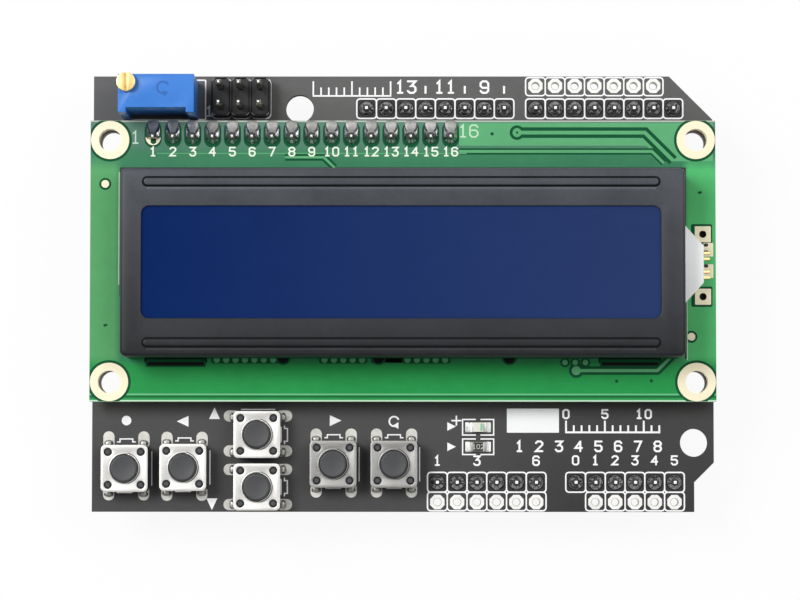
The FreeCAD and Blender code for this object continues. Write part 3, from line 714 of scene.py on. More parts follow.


# Painted highlight: the pins' flat ends are a near-white, mostly non-metal colour that stands in for the light
# reflected from the bare metal there.
def pin_tip():
    return plain("Pin tip", (0.92, 0.91, 0.88), (0.55, 0.65), 0.04, metal=0.15, scale=3500.0, bump=0.003)


def leg_tin():
    return plain("Dull tin", (0.36, 0.36, 0.34), (0.35, 0.50), 0.18, metal=0.9, scale=3000.0, bump=0.01)


def gold():
    return plain("Thin gold", srgb("e8c98a"), (0.30, 0.45), 0.08, metal=0.9, scale=3500.0, bump=0.003)


def moulded_black():
    return plain("Black moulding", (0.024, 0.024, 0.026), (0.42, 0.58), 0.18, scale=4200.0, bump=0.006, specular=0.3)


# ---------------------------------------------------------------- pieces


class SHIELD_OT_board(bpy.types.Operator):
    """Finish the shield board and add its print, bare pads and plated holes."""

    bl_idname = "shield.board"
    bl_label = "Shield board"

    # Where the rows of print lie on the board
    ANALOG_ROW = -21.5
    POWER_ROW = -21.55
    COUNT_ROW = -19.7
    KEY_ROW = -16.4
    LOWER_RULER = (21.0, -17.9)
    UPPER_RULER = (-11.6, 25.6)
    DIGITAL_ROW = 26.75
    BLOCK = (16.74, -16.4)
    TRIMMER_FRAME = (-30.64, 25.07)

    def execute(self, context):
        face = tuple(colours().shield)
        low, high = span("shield_board")
        # Painted light and shade: the mask is drawn darker towards the right and lighter towards the top, for how
        # the light falls across the board.
        dress(["shield_board"], board_finish(
            "Shield mask", face, srgb("4d4438"), (0.42, 0.56), fields=[
                (0, 2.0, 22.0, toned(face, 0.55)), (1, low.y, high.y, toned(face, 1.85))],
            gloss=0.2))
        self.print_lines(low, high)
        self.open_holes()
        self.key_pads()
        return {"FINISHED"}

    def print_lines(self, low, high):
        thick, line, z = size("ink_height"), size("ink_line"), BOARD_TOP
        bm = bmesh.new()
        pins = [s[0] for s in solids("shield_pins")]
        self.cells(bm, pins, low, high, z, thick, line)
        self.pin_numbers(bm, pins, z, thick)
        self.ruler(bm, *self.UPPER_RULER, 11, (1.1, 1.9), 0.2, z, thick)
        self.key_symbols(bm, z, thick, line)
        self.lamp_print(bm, z, thick, line)
        put(bm, slab(6.7, 3.1, thick, 0.05), place(*self.BLOCK, z), 1)
        self.ruler(bm, *self.LOWER_RULER, 13, (0.9, 1.5), 0.24, z, thick)
        for i, number in enumerate(("0", "5", "10")):
            figures(bm, number, self.LOWER_RULER[0] + 5 * i, self.LOWER_RULER[1] + 2.35, 1.3, 0.24, z)
        for i in range(8):
            figures(bm, str(i + 1), 15.0 + PIN_PITCH * i, self.COUNT_ROW, 1.5, 0.25, z)
        self.trimmer_print(bm, z, thick, line)
        block = plain("Print block", (0.86, 0.88, 0.88), (0.5, 0.6), 0.03)
        within = plain("Mask in the cells", (0.026, 0.026, 0.028), (0.4, 0.5), 0.1, scale=900.0, specular=0.35)
        # Painted shade: a near-black ring round each plug joint, the mask's clearance there darkened to stand in for
        # shade round the solder.
        channel = plain("Painted shade round the joints", (0.010, 0.010, 0.011), (0.45, 0.55), 0.1, scale=900.0, specular=0.3)
        make_piece("shield_print", bm, [ink(), block, within, channel])

    def cells(self, bm, pins, low, high, z, thick, line):
        """A square with round corners at each place of the plug rows and of the open rows."""
        edge_room = 0.15
        for r, row in enumerate(([(p.x, p.y) for p in pins], OPEN_HOLES)):
            for i, (x, y) in enumerate(sorted(row, key=lambda p: (round(p[1]), p[0]))):
                below = max(y - PIN_PITCH / 2, low.y + edge_room)
                above = min(y + PIN_PITCH / 2, high.y - edge_room)
                spot = place(x, (below + above) / 2, z)
                outline = frame_line(PIN_PITCH, above - below, 0.4, line)
                put(bm, lift(outline, thick + LAYER * (i % 2) + 2 * LAYER * r), spot)
                if r == 0:
                    put(bm, slab(2.3, 2.3, 0.004, 0.3), spot, 2)
                    # Painted shade: the dark ring round the joint.
                    put(bm, disc(1.1, 0.008, 28), place(x, y, z), 3)

    def pin_numbers(self, bm, pins, z, thick):
        low_row = sorted(p.x for p in pins if p.y < 0)
        high_row = sorted(p.x for p in pins if p.y > 0)
        power, analog, digital = low_row[:6], low_row[-6:], high_row[2:8]
        for i, x in enumerate(analog):
            figures(bm, str(i), x, self.ANALOG_ROW, 1.3, 0.22, z)
        for i in (0, 2, 5):
            figures(bm, str(i + 1), power[i], self.POWER_ROW, 1.35, 0.22, z)
        for i, x in enumerate(digital):
            if i % 2 == 0:
                figures(bm, str(13 - i), x, self.DIGITAL_ROW, 1.75, 0.26, z)
            else:
                put(bm, slab(0.26, 1.0, thick), place(x, self.DIGITAL_ROW - 0.35, z))

    def ruler(self, bm, x, y, marks, heights, width, z, thick):
        """A printed scale in millimetres, with a longer mark at every fifth."""
        for i in range(marks):
            tall = heights[0] if i % 5 else heights[1]
            put(bm, slab(width, tall, thick), place(x + i, y + tall / 2, z))
        put(bm, slab(marks - 1 + width, width, thick + LAYER), place(x + (marks - 1) / 2, y, z))

    def key_symbols(self, bm, z, thick, line):
        """A round spot, arrows or a turning arrow beside each key, and the key's outline beside its cover."""
        centres = {k: middle_of(k + "_cover") for k in KEYS}
        put(bm, disc(0.62, thick, 20), place(centres["select"].x, self.KEY_ROW, z))
        put(bm, arrow(1.5, 1.4, thick), place(centres["left"].x, self.KEY_ROW - 0.1, z, 180))
        put(bm, arrow(1.5, 1.4, thick), place(centres["up"].x - 5.6, -15.7, z, 90))
        put(bm, arrow(1.5, 1.4, thick), place(centres["down"].x - 5.9, -26.9, z, -90))
        put(bm, arrow(1.5, 1.4, thick), place(centres["right"].x, self.KEY_ROW, z))
        turn = arc(0.62, 20, 300)
        spot = place(centres["reset"].x, self.KEY_ROW - 0.1, z)
        put(bm, ribbon(turn, 0.22, thick), spot)
        put(bm, arrow(0.75, 0.85, thick + 0.004), spot @ place(*turn[-1], turn=60))
        for k, middle in centres.items():
            turned_key = k in TURNED_KEYS
            tab = [(-1.2, 3.42), (-0.82, 3.42), (-0.82, 3.8), (0.82, 3.8), (0.82, 3.42), (1.2, 3.42)]
            spot = place(middle.x, middle.y, z, -90 if turned_key else 0)
            put(bm, ribbon(tab, line * 0.9, thick), spot)
            edge = [(-2.2, 3.28), (2.2, 3.28)]
            spot = place(middle.x, middle.y, z, 0 if turned_key else -90)
            if k != "down":
                put(bm, ribbon(edge, line * 0.8, thick), spot)

    def lamp_print(self, bm, z, thick, line):
        """Two brackets and an arrow at the lamp and at its resistor, and the lamp's plus sign."""
        for node_name in ("power_lamp", "lamp_resistor"):
            x, y, _ = middle_of(node_name)
            for side in (-1, 1):
                bracket = [(x + side * 0.3, y + 1.0), (x + side * 2.0, y + 1.0)]
                bracket += [(x + side * 2.0, y - 1.0), (x + side * 0.3, y - 1.0)]
                put(bm, ribbon(bracket, line * 0.9, thick), place(z=z))
            put(bm, arrow(1.1, 1.1, thick), place(x - 3.6, y + (0.1 if node_name == "power_lamp" else 0), z))
        lamp = span("power_lamp")[0]
        figures(bm, "+", lamp.x - 1.8, -16.4, 1.9, 0.2, z)

    def trimmer_print(self, bm, z, thick, line):
        """The frames printed round the trimmer and the programming header, and the first pin's figure."""
        put(bm, lift(frame_line(10.2, 5.14, 0.1, line), thick), place(*self.TRIMMER_FRAME, z))
        middle = middle_of("icsp_strip")
        for i in (-1, 0, 1):
            outline = frame_line(2.5, 5.06, 0.5, line * 0.9)
            put(bm, lift(outline, thick + LAYER * (i % 2)), place(middle.x + PIN_PITCH * i, middle.y, z))
        figures(bm, "1", -25.05, 23.6, 1.4, 0.2, z)

    def open_holes(self):
        """Eight-sided bare pads with plated walls at the open holes."""
        bm = bmesh.new()
        for x, y in OPEN_HOLES:
            for z in (BOARD_TOP, BOARD_LOW - size("pad_height")):
                put(bm, washer(1.0, 0.49, size("pad_height"), 8, 16, 22.5), place(x, y, z))
            wall = [(0.55, BOARD_LOW), (0.48, BOARD_LOW), (0.48, BOARD_TOP + 0.04), (0.55, BOARD_TOP + 0.04)]
            put(bm, turned(wall, 16), place(x, y), 1)
        bore = plain("Plated bore", (0.40, 0.39, 0.36), (0.3, 0.45), 0.1)
        make_piece("open_hole_pads", bm, [pad_tin(), bore])

    def key_pads(self):
        """Four long pads round each key, with the leg's joint on each."""
        leg_x, leg_y = 2.25, 3.3
        joint = [(0.62, 0.03), (0.5, 0.16), (0.36, 0.34), (0.0, 0.36)]
        bm = bmesh.new()
        for k in KEYS:
            middle = middle_of(k + "_cover")
            quarter = 90 if k in TURNED_KEYS else 0
            rise = 0.18 if k in ("select", "up") else 0.0
            for sx in (-1, 1):
                for sy in (-1, 1):
                    out, long = (3.36, 2.1) if quarter else (3.45, 2.3) if sy > 0 else (3.3, 1.95)
                    at = place(middle.x, middle.y + rise, BOARD_TOP, quarter) @ place(sx * leg_x, sy * out)
                    put(bm, slab(1.45, long, size("pad_height"), 0.7, steps=5), at)
                    at = place(middle.x, middle.y, BOARD_TOP, quarter) @ place(sx * leg_x, sy * leg_y)
                    put(bm, turned(joint, 14), at @ place(scale=(1, 0.62, 1)), 1)
        make_piece("key_pads", bm, [key_pad_tin(), leg_tin()])


def solder_cone(seed, width, reach, square):
    """A drawn-up solder joint round a square pin, lopsided as a hand-made one is.

    With a reach it runs out flat to the board's edge, in painted light on that side and painted shade on its other
    sides; every joint's crown is painted dark as shade."""
    profile = [(width, 0.0), (width * 0.98, 0.09), (width * 0.89, 0.2), (0.75 * width, 0.36), (0.61 * width, 0.58)]
    profile += [(0.5 * width, 0.8), (0.44 * width, 0.9), (0.32, 0.93), (0.0, 0.93)]
    bm = turned([(0.0, 0.0)] + profile, 28)
    lean = Vector((noise.noise((seed, 1.7, 0.3)), noise.noise((seed, 7.1, 2.9)), 0))
    for f in bm.faces:
        middle = f.calc_center_median()
        angle = math.degrees(math.atan2(middle.x, middle.y))
        # Painted shade at the crown, and on a reaching joint painted shade away from the board's edge and painted
        # light towards it.
        if middle.z > 0.7:
            f.material_index = 2
        elif reach and abs(angle + 14 * lean.x) > 43:
            f.material_index = 1
    for v in bm.verts:
        r = math.hypot(v.co.x, v.co.y)
        if r < 1e-4:
            continue
        angle = math.atan2(v.co.y, v.co.x)
        wave = 1 + 0.07 * noise.noise((math.cos(angle) * 1.3 + seed, math.sin(angle) * 1.3, v.co.z * 2))
        share = min(1.0, max(0.0, (r - 0.42) / (width - 0.42)))
        v.co.x *= wave
        v.co.y *= wave
        v.co.z *= 1 + 0.18 * (lean.x * math.cos(angle) + lean.y * math.sin(angle)) * share
        if reach and v.co.y > 0:
            c, s = math.cos(angle), math.sin(angle)
            even = r * (abs(c) ** square) * (1 if c > 0 else -1)
            v.co.x += (even - v.co.x) * share
            v.co.y = r * (s ** square) * (1 + (reach / width - 1) * share)
    return bm


class SHIELD_OT_plugs(bpy.types.Operator):
    """Build the plug strips, their pins and the solder joints on the shield's face."""

    bl_idname = "shield.plugs"
    bl_label = "Plug headers"

    def execute(self, context):
        for name in ("digital_high_strip", "digital_low_strip", "power_strip", "analog_strip", "display_strip"):
            make_piece(name + "_body", softened(name, size("moulded_edge")), [moulded_black()],
                       replaces=(name,))
        for name in ("shield_pins", "icsp_pins", "display_pins"):
            bm = merged(name)
            bmesh.ops.dissolve_limit(bm, angle_limit=math.radians(1), verts=bm.verts, edges=bm.edges)
            top = max(v.co.z for v in bm.verts)
            soften(bm, level_edges(bm, top), 0.14 if name == "shield_pins" else 0.04, 1)
            # Painted light and shade at the pins' ends: the flat end takes the pin tip as a painted highlight, and
            # the sides just below it take the joint crown as painted shade.
            for f in bm.faces:
                if f.calc_center_median().z > top - 0.16:
                    f.material_index = 1 if f.normal.z > 0.9 else 2
            make_piece(name + "_plated", bm, [pin_metal(), pin_tip(), crown()], replaces=(name,))
        bm = bmesh.new()
        joints = solids("solder_joints")
        for i, (middle, extent) in enumerate(joints):
            if middle.z < PANEL_TOP:
                put(bm, solder_cone(i * 1.37, 0.97, 0, 1), place(middle.x, middle.y, BOARD_TOP))
        make_piece("plug_solder", bm, [solder(), solder(), crown()], replaces=("solder_joints",))
        bm = bmesh.new()
        first = min((m for m, e in joints if m.z > PANEL_TOP), key=lambda m: m.x)
        for i, (middle, extent) in enumerate(joints):
            if middle.z > PANEL_TOP:
                pin_y = span("display_pins")[0].y + PIN_WIDTH / 2
                reach = middle.y + extent.y / 2 - pin_y
                cone = solder_cone(40 + i * 1.37, 0.93, reach, 0.42)
                if middle.x < first.x + 0.1:
                    for v in cone.verts:
                        v.co.y *= 0.42 if v.co.y < 0 else 1
                put(bm, cone, place(middle.x, pin_y, PANEL_TOP))
        # Painted light: the pale solder on the side towards the board's edge.
        pale = finish("Solder in painted light", (0.26, 0.26, 0.25), (0.62, 0.62, 0.60), (0.30, 0.45), metal=0.7, scale=2600.0,
                      bump=0.02)
        make_piece("display_solder", bm, [pale, solder(), crown()], replaces=("solder_joints",))
        return {"FINISHED"}


class SHIELD_OT_keys(bpy.types.Operator):
    """Build the six push switches: housings, covers, staked posts, buttons and legs."""

    bl_idname = "shield.keys"
    bl_label = "Push switches"

    # Sizes of one switch, from its middle and its seat on the board
    COVER_WIDTH = 6.0
    COVER_LEVEL = 3.1
    COVER_SHEET = 0.25
    BASE_WIDTH = 5.8
    BASE_HEIGHT = 1.35
    POST = 2.1

    def execute(self, context):
        steel = colours().cover
        # Painted shade: the right and reset keys get a darker copy of the cover steel, standing in for the weaker
        # light on them.
        keys_in_painted_shade = ("right", "reset")
        bright = plain("Cover steel", tuple(steel), (0.45, 0.6), 0.09, metal=0.75, scale=5200.0, bump=0.006,
                       lines=True)
        shaded_cover_steel = plain("Cover steel in painted shade", toned(tuple(steel), 0.50), (0.42, 0.58), 0.13, metal=0.8, scale=5200.0,
                     bump=0.006, lines=True)
        button = plain("Key moulding", tuple(colours().key), (0.40, 0.5), 0.08, scale=5200.0, bump=0.003)
        rivet = plain("Rivet moulding", toned(tuple(colours().key), 0.42), (0.45, 0.6), 0.12, scale=5200.0,
                      specular=0.25)
        core = plain("Rivet core", toned(tuple(colours().key), 1.15), (0.5, 0.6), 0.12, scale=5200.0, specular=0.3)
        shade = plain("Lip in shade", (0.16, 0.16, 0.155), (0.4, 0.55), 0.12, metal=0.5, scale=5200.0)
        for k in KEYS:
            x, y, _ = middle_of(k + "_cover")
            quarter = 90 if k in TURNED_KEYS else 0
            spot = place(x, y, BOARD_TOP, quarter)
            bm = bmesh.new()
            put(bm, self.cover(), spot)
            put(bm, self.lip(), place(x, y, BOARD_TOP))
            make_piece(k + "_key_cover", bm, [shaded_cover_steel if k in keys_in_painted_shade else bright, shade, moulded_black()],
                       replaces=(k + "_cover",))
            bm = bmesh.new()
            put(bm, self.housing(), spot)
            make_piece(k + "_key_housing", bm, [moulded_black(), rivet, core], replaces=(k + "_base",))
            bm = bmesh.new()
            put(bm, self.button(), spot)
            make_piece(k + "_key_button", bm, [button, moulded_black()], body=k + "_key", replaces=(k + "_button",))
        dress([k + "_dome" for k in KEYS], bright)
        make_piece("key_legs", softened("switch_legs", 0.05), [leg_tin()], replaces=("switch_legs",))
        return {"FINISHED"}

    def cover(self):
        """The steel cover with its five holes, its side tabs and its lower flange."""
        wide, thick = self.COVER_WIDTH, self.COVER_SHEET
        holes = [(0, 0, 1.9, 40)]
        holes += [(sx * self.POST, sy * self.POST, 0.52, 18) for sx in (-1, 1) for sy in (-1, 1)]
        bm = bmesh.new()
        put(bm, pierced(sheet(wide, wide, 0.62, 5), holes, thick, 0.05), place(z=self.COVER_LEVEL))
        for side in (-1, 1):
            put(bm, slab(2.2, thick, 1.52, 0, 0), place(0, side * (wide - thick) / 2, self.COVER_LEVEL - 1.5))
        put(bm, slab(2.0, 0.2, 0.9, 0.03, 0.05), place(0, -3.05, 2.0))
        return bm

    def lip(self):
        """The turned-up rim round the button's hole, bright on the right and in painted shade elsewhere; its inner
        wall and its outer slope on the right are painted black as shade.
        """
        steel, shade, black = 0, 1, 2
        bm = turned([(1.80, 3.24), (1.80, 3.37), (1.825, 3.40), (1.93, 3.395), (2.03, 3.355), (2.035, 3.24)], 56)
        for f in bm.faces:
            middle = f.calc_center_median()
            r = math.hypot(middle.x, middle.y)
            turn = abs(math.degrees(math.atan2(middle.y, middle.x)))
            # Painted shade: black on the inner wall and on the right outer slope, steel or painted shade on the
            # crest.
            if r < 1.81:
                f.material_index = black
            elif r < 1.94:
                f.material_index = steel if turn < 80 else shade
            else:
                f.material_index = black if turn < 75 else steel
        return bm

    def housing(self):
        """The moulded base with the button's well and a staked post at each corner."""
        wide, height = self.BASE_WIDTH, self.BASE_HEIGHT
        rivet = [(0.0, 3.08), (0.45, 3.08), (0.45, 3.29), (0.41, 3.36), (0.33, 3.39), (0.24, 3.37), (0.0, 3.35)]
        bm = bmesh.new()
        put(bm, slab(wide, wide, height, 0.25, 0), finish=0)
        put(bm, pierced(sheet(wide - 0.4, wide - 0.4, 0.25), [(0, 0, 2.17, 28)], 1.75), place(z=height), 0)
        for turn in (0, 90, 180, 270):
            put(bm, slab(1.5, 1.5, 1.74, 0.2), place(turn=turn) @ place(2.15, 2.15, height), 0)
            spot = place(turn=turn) @ place(self.POST, self.POST)
            put(bm, turned(rivet, 18), spot, 1)
            put(bm, disc(0.27, 0.03, 14), spot @ place(z=3.35), 2)
        return bm

    def button(self):
        """The round button with its foot on the dome and its flange under the cover; the foot and flange are painted
        black as shade, so the ring between button and cover reads dark.
        """
        profile = [(0.0, 1.76), (0.74, 1.76), (0.74, 2.58), (2.04, 2.58), (2.04, 3.07), (1.75, 3.07)]
        profile += [(1.74, 3.5), (1.70, 4.05), (1.685, 4.16), (1.64, 4.24), (1.57, 4.29), (1.48, 4.3), (1.42, 4.285)]
        profile += [(0.0, 4.27)]
        bm = turned(profile, 48)
        # Painted shade: the parts below the cover are black, though they are the button's own moulding.
        for f in bm.faces:
            f.material_index = 1 if f.calc_center_median().z < 3.3 else 0
        return bm


class SHIELD_OT_chips(bpy.types.Operator):
    """Build the power lamp, its resistor and the small chips under the boards."""

    bl_idname = "shield.chips"
    bl_label = "Chip parts"

    def execute(self, context):
        body = plain("Glazed chip", (0.024, 0.024, 0.026), (0.22, 0.35), 0.15, scale=4500.0, bump=0.004)
        under = plain("Fired alumina", srgb("c9c4b8"), (0.5, 0.65), 0.06, scale=5000.0, bump=0.004)
        lens = plain("Clear resin", srgb("dfe0d2"), (0.16, 0.26), 0.05, scale=3000.0, bump=0.002, coat=0.4)
        phosphor = plain("Lamp green", srgb("7fbf9a"), (0.3, 0.45), 0.1, scale=3500.0, bump=0.002)
        x, y, _ = middle_of("power_lamp")
        spot = place(x, y, BOARD_TOP)
        bm = bmesh.new()
        put(bm, slab(1.9, 1.2, 0.26, 0, 0), spot, 0)
        put(bm, slab(1.3, 1.2, 0.54, 0.03, 0.07), spot @ place(z=0.25), 1)
        put(bm, slab(0.28, 0.9, 0.008, 0.03), spot @ place(0.42, z=0.787), 3)
        for side in (-1, 1):
            put(bm, slab(0.38, 1.25, 0.32, 0.03, 0.04), spot @ place(side * 0.81), 2)
        self.lands(bm, spot, 0.2)
        land = finish("Tinned land", (0.42, 0.43, 0.41), (0.85, 0.86, 0.83), (0.3, 0.5), metal=0.5, scale=3600.0,
                      bump=0.02)
        make_piece("lamp_body", bm, [under, lens, bright_tin(), phosphor, land], replaces=("power_lamp",))
        bm = bmesh.new()
        for name in ("lamp_resistor", "ladder_resistors", "display_resistors"):
            for middle, extent in solids(name):
                upside = name != "lamp_resistor"
                base = BOARD_TOP if not upside else middle.z + extent.z / 2
                turn = 90 if extent.y > extent.x else 0
                spot = place(middle.x, middle.y, base, turn)
                if upside:
                    spot = spot @ Matrix.Rotation(math.pi, 4, "X")
                tall = extent.z - 0.05 if not upside else extent.z
                put(bm, slab(1.9, 1.16, tall - 0.06), spot, 1)
                put(bm, slab(1.24, 1.1, 0.05, 0.02, 0.02), spot @ place(z=tall - 0.07), 0)
                for side in (-1, 1):
                    put(bm, slab(0.36, 1.25, tall, 0.03, 0.05), spot @ place(side * 0.82, 0), 2)
                if name == "lamp_resistor":
                    figures(bm, "102", middle.x, middle.y, 0.62, 0.09, BOARD_TOP + tall - 0.022, 3, 0.006)
                    self.lands(bm, spot, 0.24)
        code = plain("Chip code", srgb("b9b9b4"), (0.5, 0.6), 0.05)
        make_piece("chip_resistors", bm, [body, under, leg_tin(), code, land],
                   replaces=("lamp_resistor", "ladder_resistors", "display_resistors"))
        bm = softened("backlight_transistor", 0.04)
        for f in bm.faces:
            f.material_index = 1 if f.calc_center_median().z > BOARD_LOW - 0.14 else 0
        make_piece("transistor_body", bm, [body, bright_tin()], replaces=("backlight_transistor",))
        return {"FINISHED"}

    def lands(self, bm, spot, height):
        """The tinned land and the solder's slope at both ends of a chip."""
        for side in (-1, 1):
            put(bm, slab(0.72, 1.3, 0.09, 0.12, 0.05), spot @ place(side * 1.29), 4)
            put(bm, slab(0.34, 1.1, height, 0.1, 0.1), spot @ place(side * 1.1), 4)


class SHIELD_OT_trimmer(bpy.types.Operator):
    """Build the blue trimmer, its brass screw and its leads."""

    bl_idname = "shield.trimmer"
    bl_label = "Trimmer"

    def execute(self, context):
        blue = plain("Blue moulding", tuple(colours().housing), (0.30, 0.42), 0.06, scale=3200.0, bump=0.004)
        brass = plain("Turned brass", (0.88, 0.66, 0.28), (0.32, 0.45), 0.06, metal=0.45, scale=3000.0, bump=0.006)
        shade = plain("Blue in painted shade", toned(tuple(colours().housing), 0.22), (0.4, 0.5), 0.1, scale=3200.0)
        low, high = span("trimmer_body")
        bm = softened("trimmer_body", 0.12, 3)
        # Painted shade: the flat faces inside the housing's recess take a darker copy of the blue.
        for f in bm.faces:
            if abs(f.normal.z) > 0.7 and BOARD_TOP + 3 < f.calc_center_median().z < high.z - 0.5:
                f.material_index = 1
        make_piece("trimmer_housing", bm, [blue, shade], replaces=("trimmer_body",))
        bm = bmesh.new()
        turn = arc(0.75, 30, 290)
        spot = place((low.x + high.x) / 2 + 0.9, low.y + 3.1, high.z)
        put(bm, ribbon(turn, 0.26, 0.010), spot)
        put(bm, arrow(0.7, 0.85, 0.013), spot @ place(*turn[-1], turn=20))
        make_piece("trimmer_mark", bm, [plain("Trimmer ink", (0.010, 0.110, 0.40), (0.5, 0.6), 0.08)])
        make_piece("trimmer_screw_head", softened("trimmer_screw", 0.06, 2, 50), [brass], body="trimmer_shaft",
                   replaces=("trimmer_screw",))
        dress(["trimmer_leads"], bright_tin())
        return {"FINISHED"}


class SHIELD_OT_program_header(bpy.types.Operator):
    """Build the two by three programming header's strip."""

    bl_idname = "shield.program_header"
    bl_label = "Programming header"

    def execute(self, context):
        bm = softened("icsp_strip", 0.1, 3)
        low, high = span("icsp_strip")
        pale = plain("Worn moulding edge", (0.16, 0.16, 0.165), (0.4, 0.5), 0.15, scale=4200.0)
        middle = (low + high) / 2
        for i in (-1, 0, 1):
            spot = place(middle.x + PIN_PITCH * i, middle.y, high.z - 0.012)
            put(bm, lift(frame_line(2.2, 4.7, 0.35, 0.1), 0.012), spot, 1)
        make_piece("icsp_strip_body", bm, [moulded_black(), pale], replaces=("icsp_strip",))
        return {"FINISHED"}


class SHIELD_OT_panel(bpy.types.Operator):
    """Finish the display board and add its tracks, bare pads, lining and figures."""

    bl_idname = "shield.panel"
    bl_label = "Display board"

    def execute(self, context):
        face = tuple(colours().panel)
        low, high = span("display_board")
        # Painted light and shade: the mask is drawn lighter and darker in bands at the sides, above the bezel and
        # below it, for how light falls on the board.
        fields = [
            (0, -36.9, -35.9, (0.026, 0.185, 0.085)),
            (0, 35.6, 36.6, (0.070, 0.450, 0.140)),
            (1, 15.6, 17.4, (0.034, 0.200, 0.092)),
            (1, 17.6, 19.4, (0.085, 0.200, 0.145)),
            (1, -8.3, -9.6, (0.0080, 0.275, 0.056)),
        ]
        rims = [(1, low.y, 0.34, srgb("b9dcc0")), (1, low.y + 0.62, 0.18, srgb("0c5c30")),
                (1, low.y + 0.92, 0.12, srgb("6cba88")), (1, high.y, 0.3, srgb("b4beb0"))]
        dress(["display_board"], board_finish(
            "Display mask", face, srgb("9fb07a"), (0.35, 0.5), fields=fields, scale=700.0, rims=rims, gloss=0.22))
        lit = plain("Mask over copper", (0.094, 0.375, 0.158), (0.34, 0.46), 0.08, scale=900.0, bump=0.004,
                    specular=0.3)
        deep = plain("Mask over channel", (0.004, 0.080, 0.030), (0.5, 0.6), 0.1, scale=1200.0, bump=0.004,
                     specular=0.1)
        bare = plain("Bare pad", (0.88, 0.81, 0.58), (0.4, 0.55), 0.04, metal=0.1, scale=3000.0, bump=0.003)
        dark = plain("Dark bore", (0.020, 0.018, 0.014), (0.5, 0.6), 0.2, scale=3000.0)
        self.tracks(lit, deep)
        self.bezel_foot()
        self.pads(bare, deep, dark, low, high)
        self.print_figures()
        return {"FINISHED"}

    def pour(self, high):
        """The copper field at the upper right, open under the mounting ring."""
        side, rim = high.x - 0.3, high.y - 0.3
        bm = bmesh.new()
        corners = [(7.2, 18.72), (31.2, 18.72), (33.2, 16.72), (side, 16.72), (side, rim), (7.2, rim)]
        corners = [bm.verts.new((x, y, 0)) for x, y in corners]
        loop = [bm.edges.new(pair) for pair in zip(corners, corners[1:] + corners[:1])]
        bmesh.ops.contextual_create(bm, geom=loop)
        return pierced(bm, [(MOUNT_X, high.y - MOUNT_INSET, 2.1, 40)], 0.004)

    def tracks(self, lit, deep):
        """Tracks and vias as low ridges, each with a dark channel round it."""
        z = PANEL_TOP
        bm = bmesh.new()
        put(bm, self.pour(span("display_board")[1]), place(z=z), 0)
        upper = [(14.62, 20.4), (31.0, 20.4), (34.6, 16.8)]
        thin = [(7.2, 17.98), (31.9, 17.98), (33.4, 16.48)]
        low_right = [(22.13, -10.09), (32.49, -10.09), (34.28, -8.3)]
        short = [(-15.1, 17.23), (-10.15, 17.23), (-8.74, 15.9)]
        for path, width, wider in ((upper, 0.47, 0.9), (thin, 0.36, 0.46), (low_right, 0.4, 0.7), (short, 0.3, 0.6)):
            put(bm, ribbon(path, width + wider, 0.006 if path is not thin else 0.008), place(z=z), 1)
            put(bm, ribbon(path, width, 0.016), place(z=z), 0)
        for x, y in (upper[0], low_right[0]):
            put(bm, disc(0.95, 0.009, 20), place(x, y, z), 1)
            put(bm, disc(0.58, 0.020, 20), place(x, y, z), 0)
        put(bm, disc(0.16, 0.024, 10), place(*upper[0], z), 1)
        for x, y in ((11.43, 20.24), (27.28, -11.44), (31.7, -11.4)):
            put(bm, disc(0.22, 0.018, 12), place(x, y, z), 1)
        for x, y in ((35.75, 13.5), (38.0, 12.7), (-38.0, -4.3)):
            put(bm, slab(0.5, 0.3, 0.012, 0.08), place(x, y, z, 15), 1)
        for i in range(3):
            put(bm, disc(0.62, 0.010, 16), place(20.7 + 1.3 * i, -9.05, z), 1)
            put(bm, disc(0.36, 0.02, 16), place(20.7 + 1.3 * i, -9.05, z), 0)
        via_pitch = 1.2
        for first, count in ((-23.75, 7), (-10.0, 5), (0.6, 5)):
            row = slab(via_pitch * count + 0.2, 0.9, 0.006, 0.3)
            put(bm, row, place(first + via_pitch / 2 * (count - 1), -8.75, z), 1)
            for i in range(count):
                put(bm, disc(0.40, 0.012, 14), place(first + via_pitch * i, -8.72, z), 0)
        for x in (-15.27, -3.1, 13.6):
            put(bm, disc(0.95, 0.008, 20), place(x, -8.45, z), 1)
            put(bm, disc(0.72, 0.014, 20), place(x, -8.45, z), 2)
        for x in (-29.0, 29.0):
            put(bm, slab(7.7, 1.0, 0.007, 0.2), place(x, -9.15, z), 1)
            put(bm, slab(7.2, 0.42, 0.013, 0.1), place(x, -9.24, z), 2)
        put(bm, ribbon([(-31.5, 17.72), (8.2, 17.72)], 0.12, 0.014), place(z=z), 0)
        black = plain("Slot in shade", (0.006, 0.006, 0.006), (0.5, 0.6), 0.1, specular=0.1)
        make_piece("panel_tracks", bm, [lit, deep, black])

    def bezel_foot(self):
        """Painted shade: a dark line at the foot of the bezel's walls, with a pale line of mask beside it."""
        z = PANEL_TOP
        foot = bmesh.new()
        left, right = BEZEL_LOW.x - 0.50, BEZEL_HIGH.x + 0.50
        lower, upper = BEZEL_LOW.y - 0.08, BEZEL_HIGH.y + 0.56
        bezel_shade_path = [(right, lower), (right, upper), (left, upper), (left, lower + 8)]
        put(foot, ribbon(bezel_shade_path, 0.24, 0.012), place(z=z), 1)
        for path in ([(right + 0.22, lower - 0.12), (right + 0.22, lower + 14.5)],
                     [(left - 0.22, upper - 0.5), (left - 0.22, lower + 9.5)]):
            put(foot, ribbon(path, 0.13, 0.02), place(z=z), 0)
        edge = plain("Mask edge", srgb("a9cfae"), (0.4, 0.5), 0.2, scale=700.0)
        bezel_shade = plain("Painted shade under the bezel", (0.008, 0.010, 0.009), (0.5, 0.6), 0.1)
        make_piece("bezel_foot_line", foot, [edge, bezel_shade])

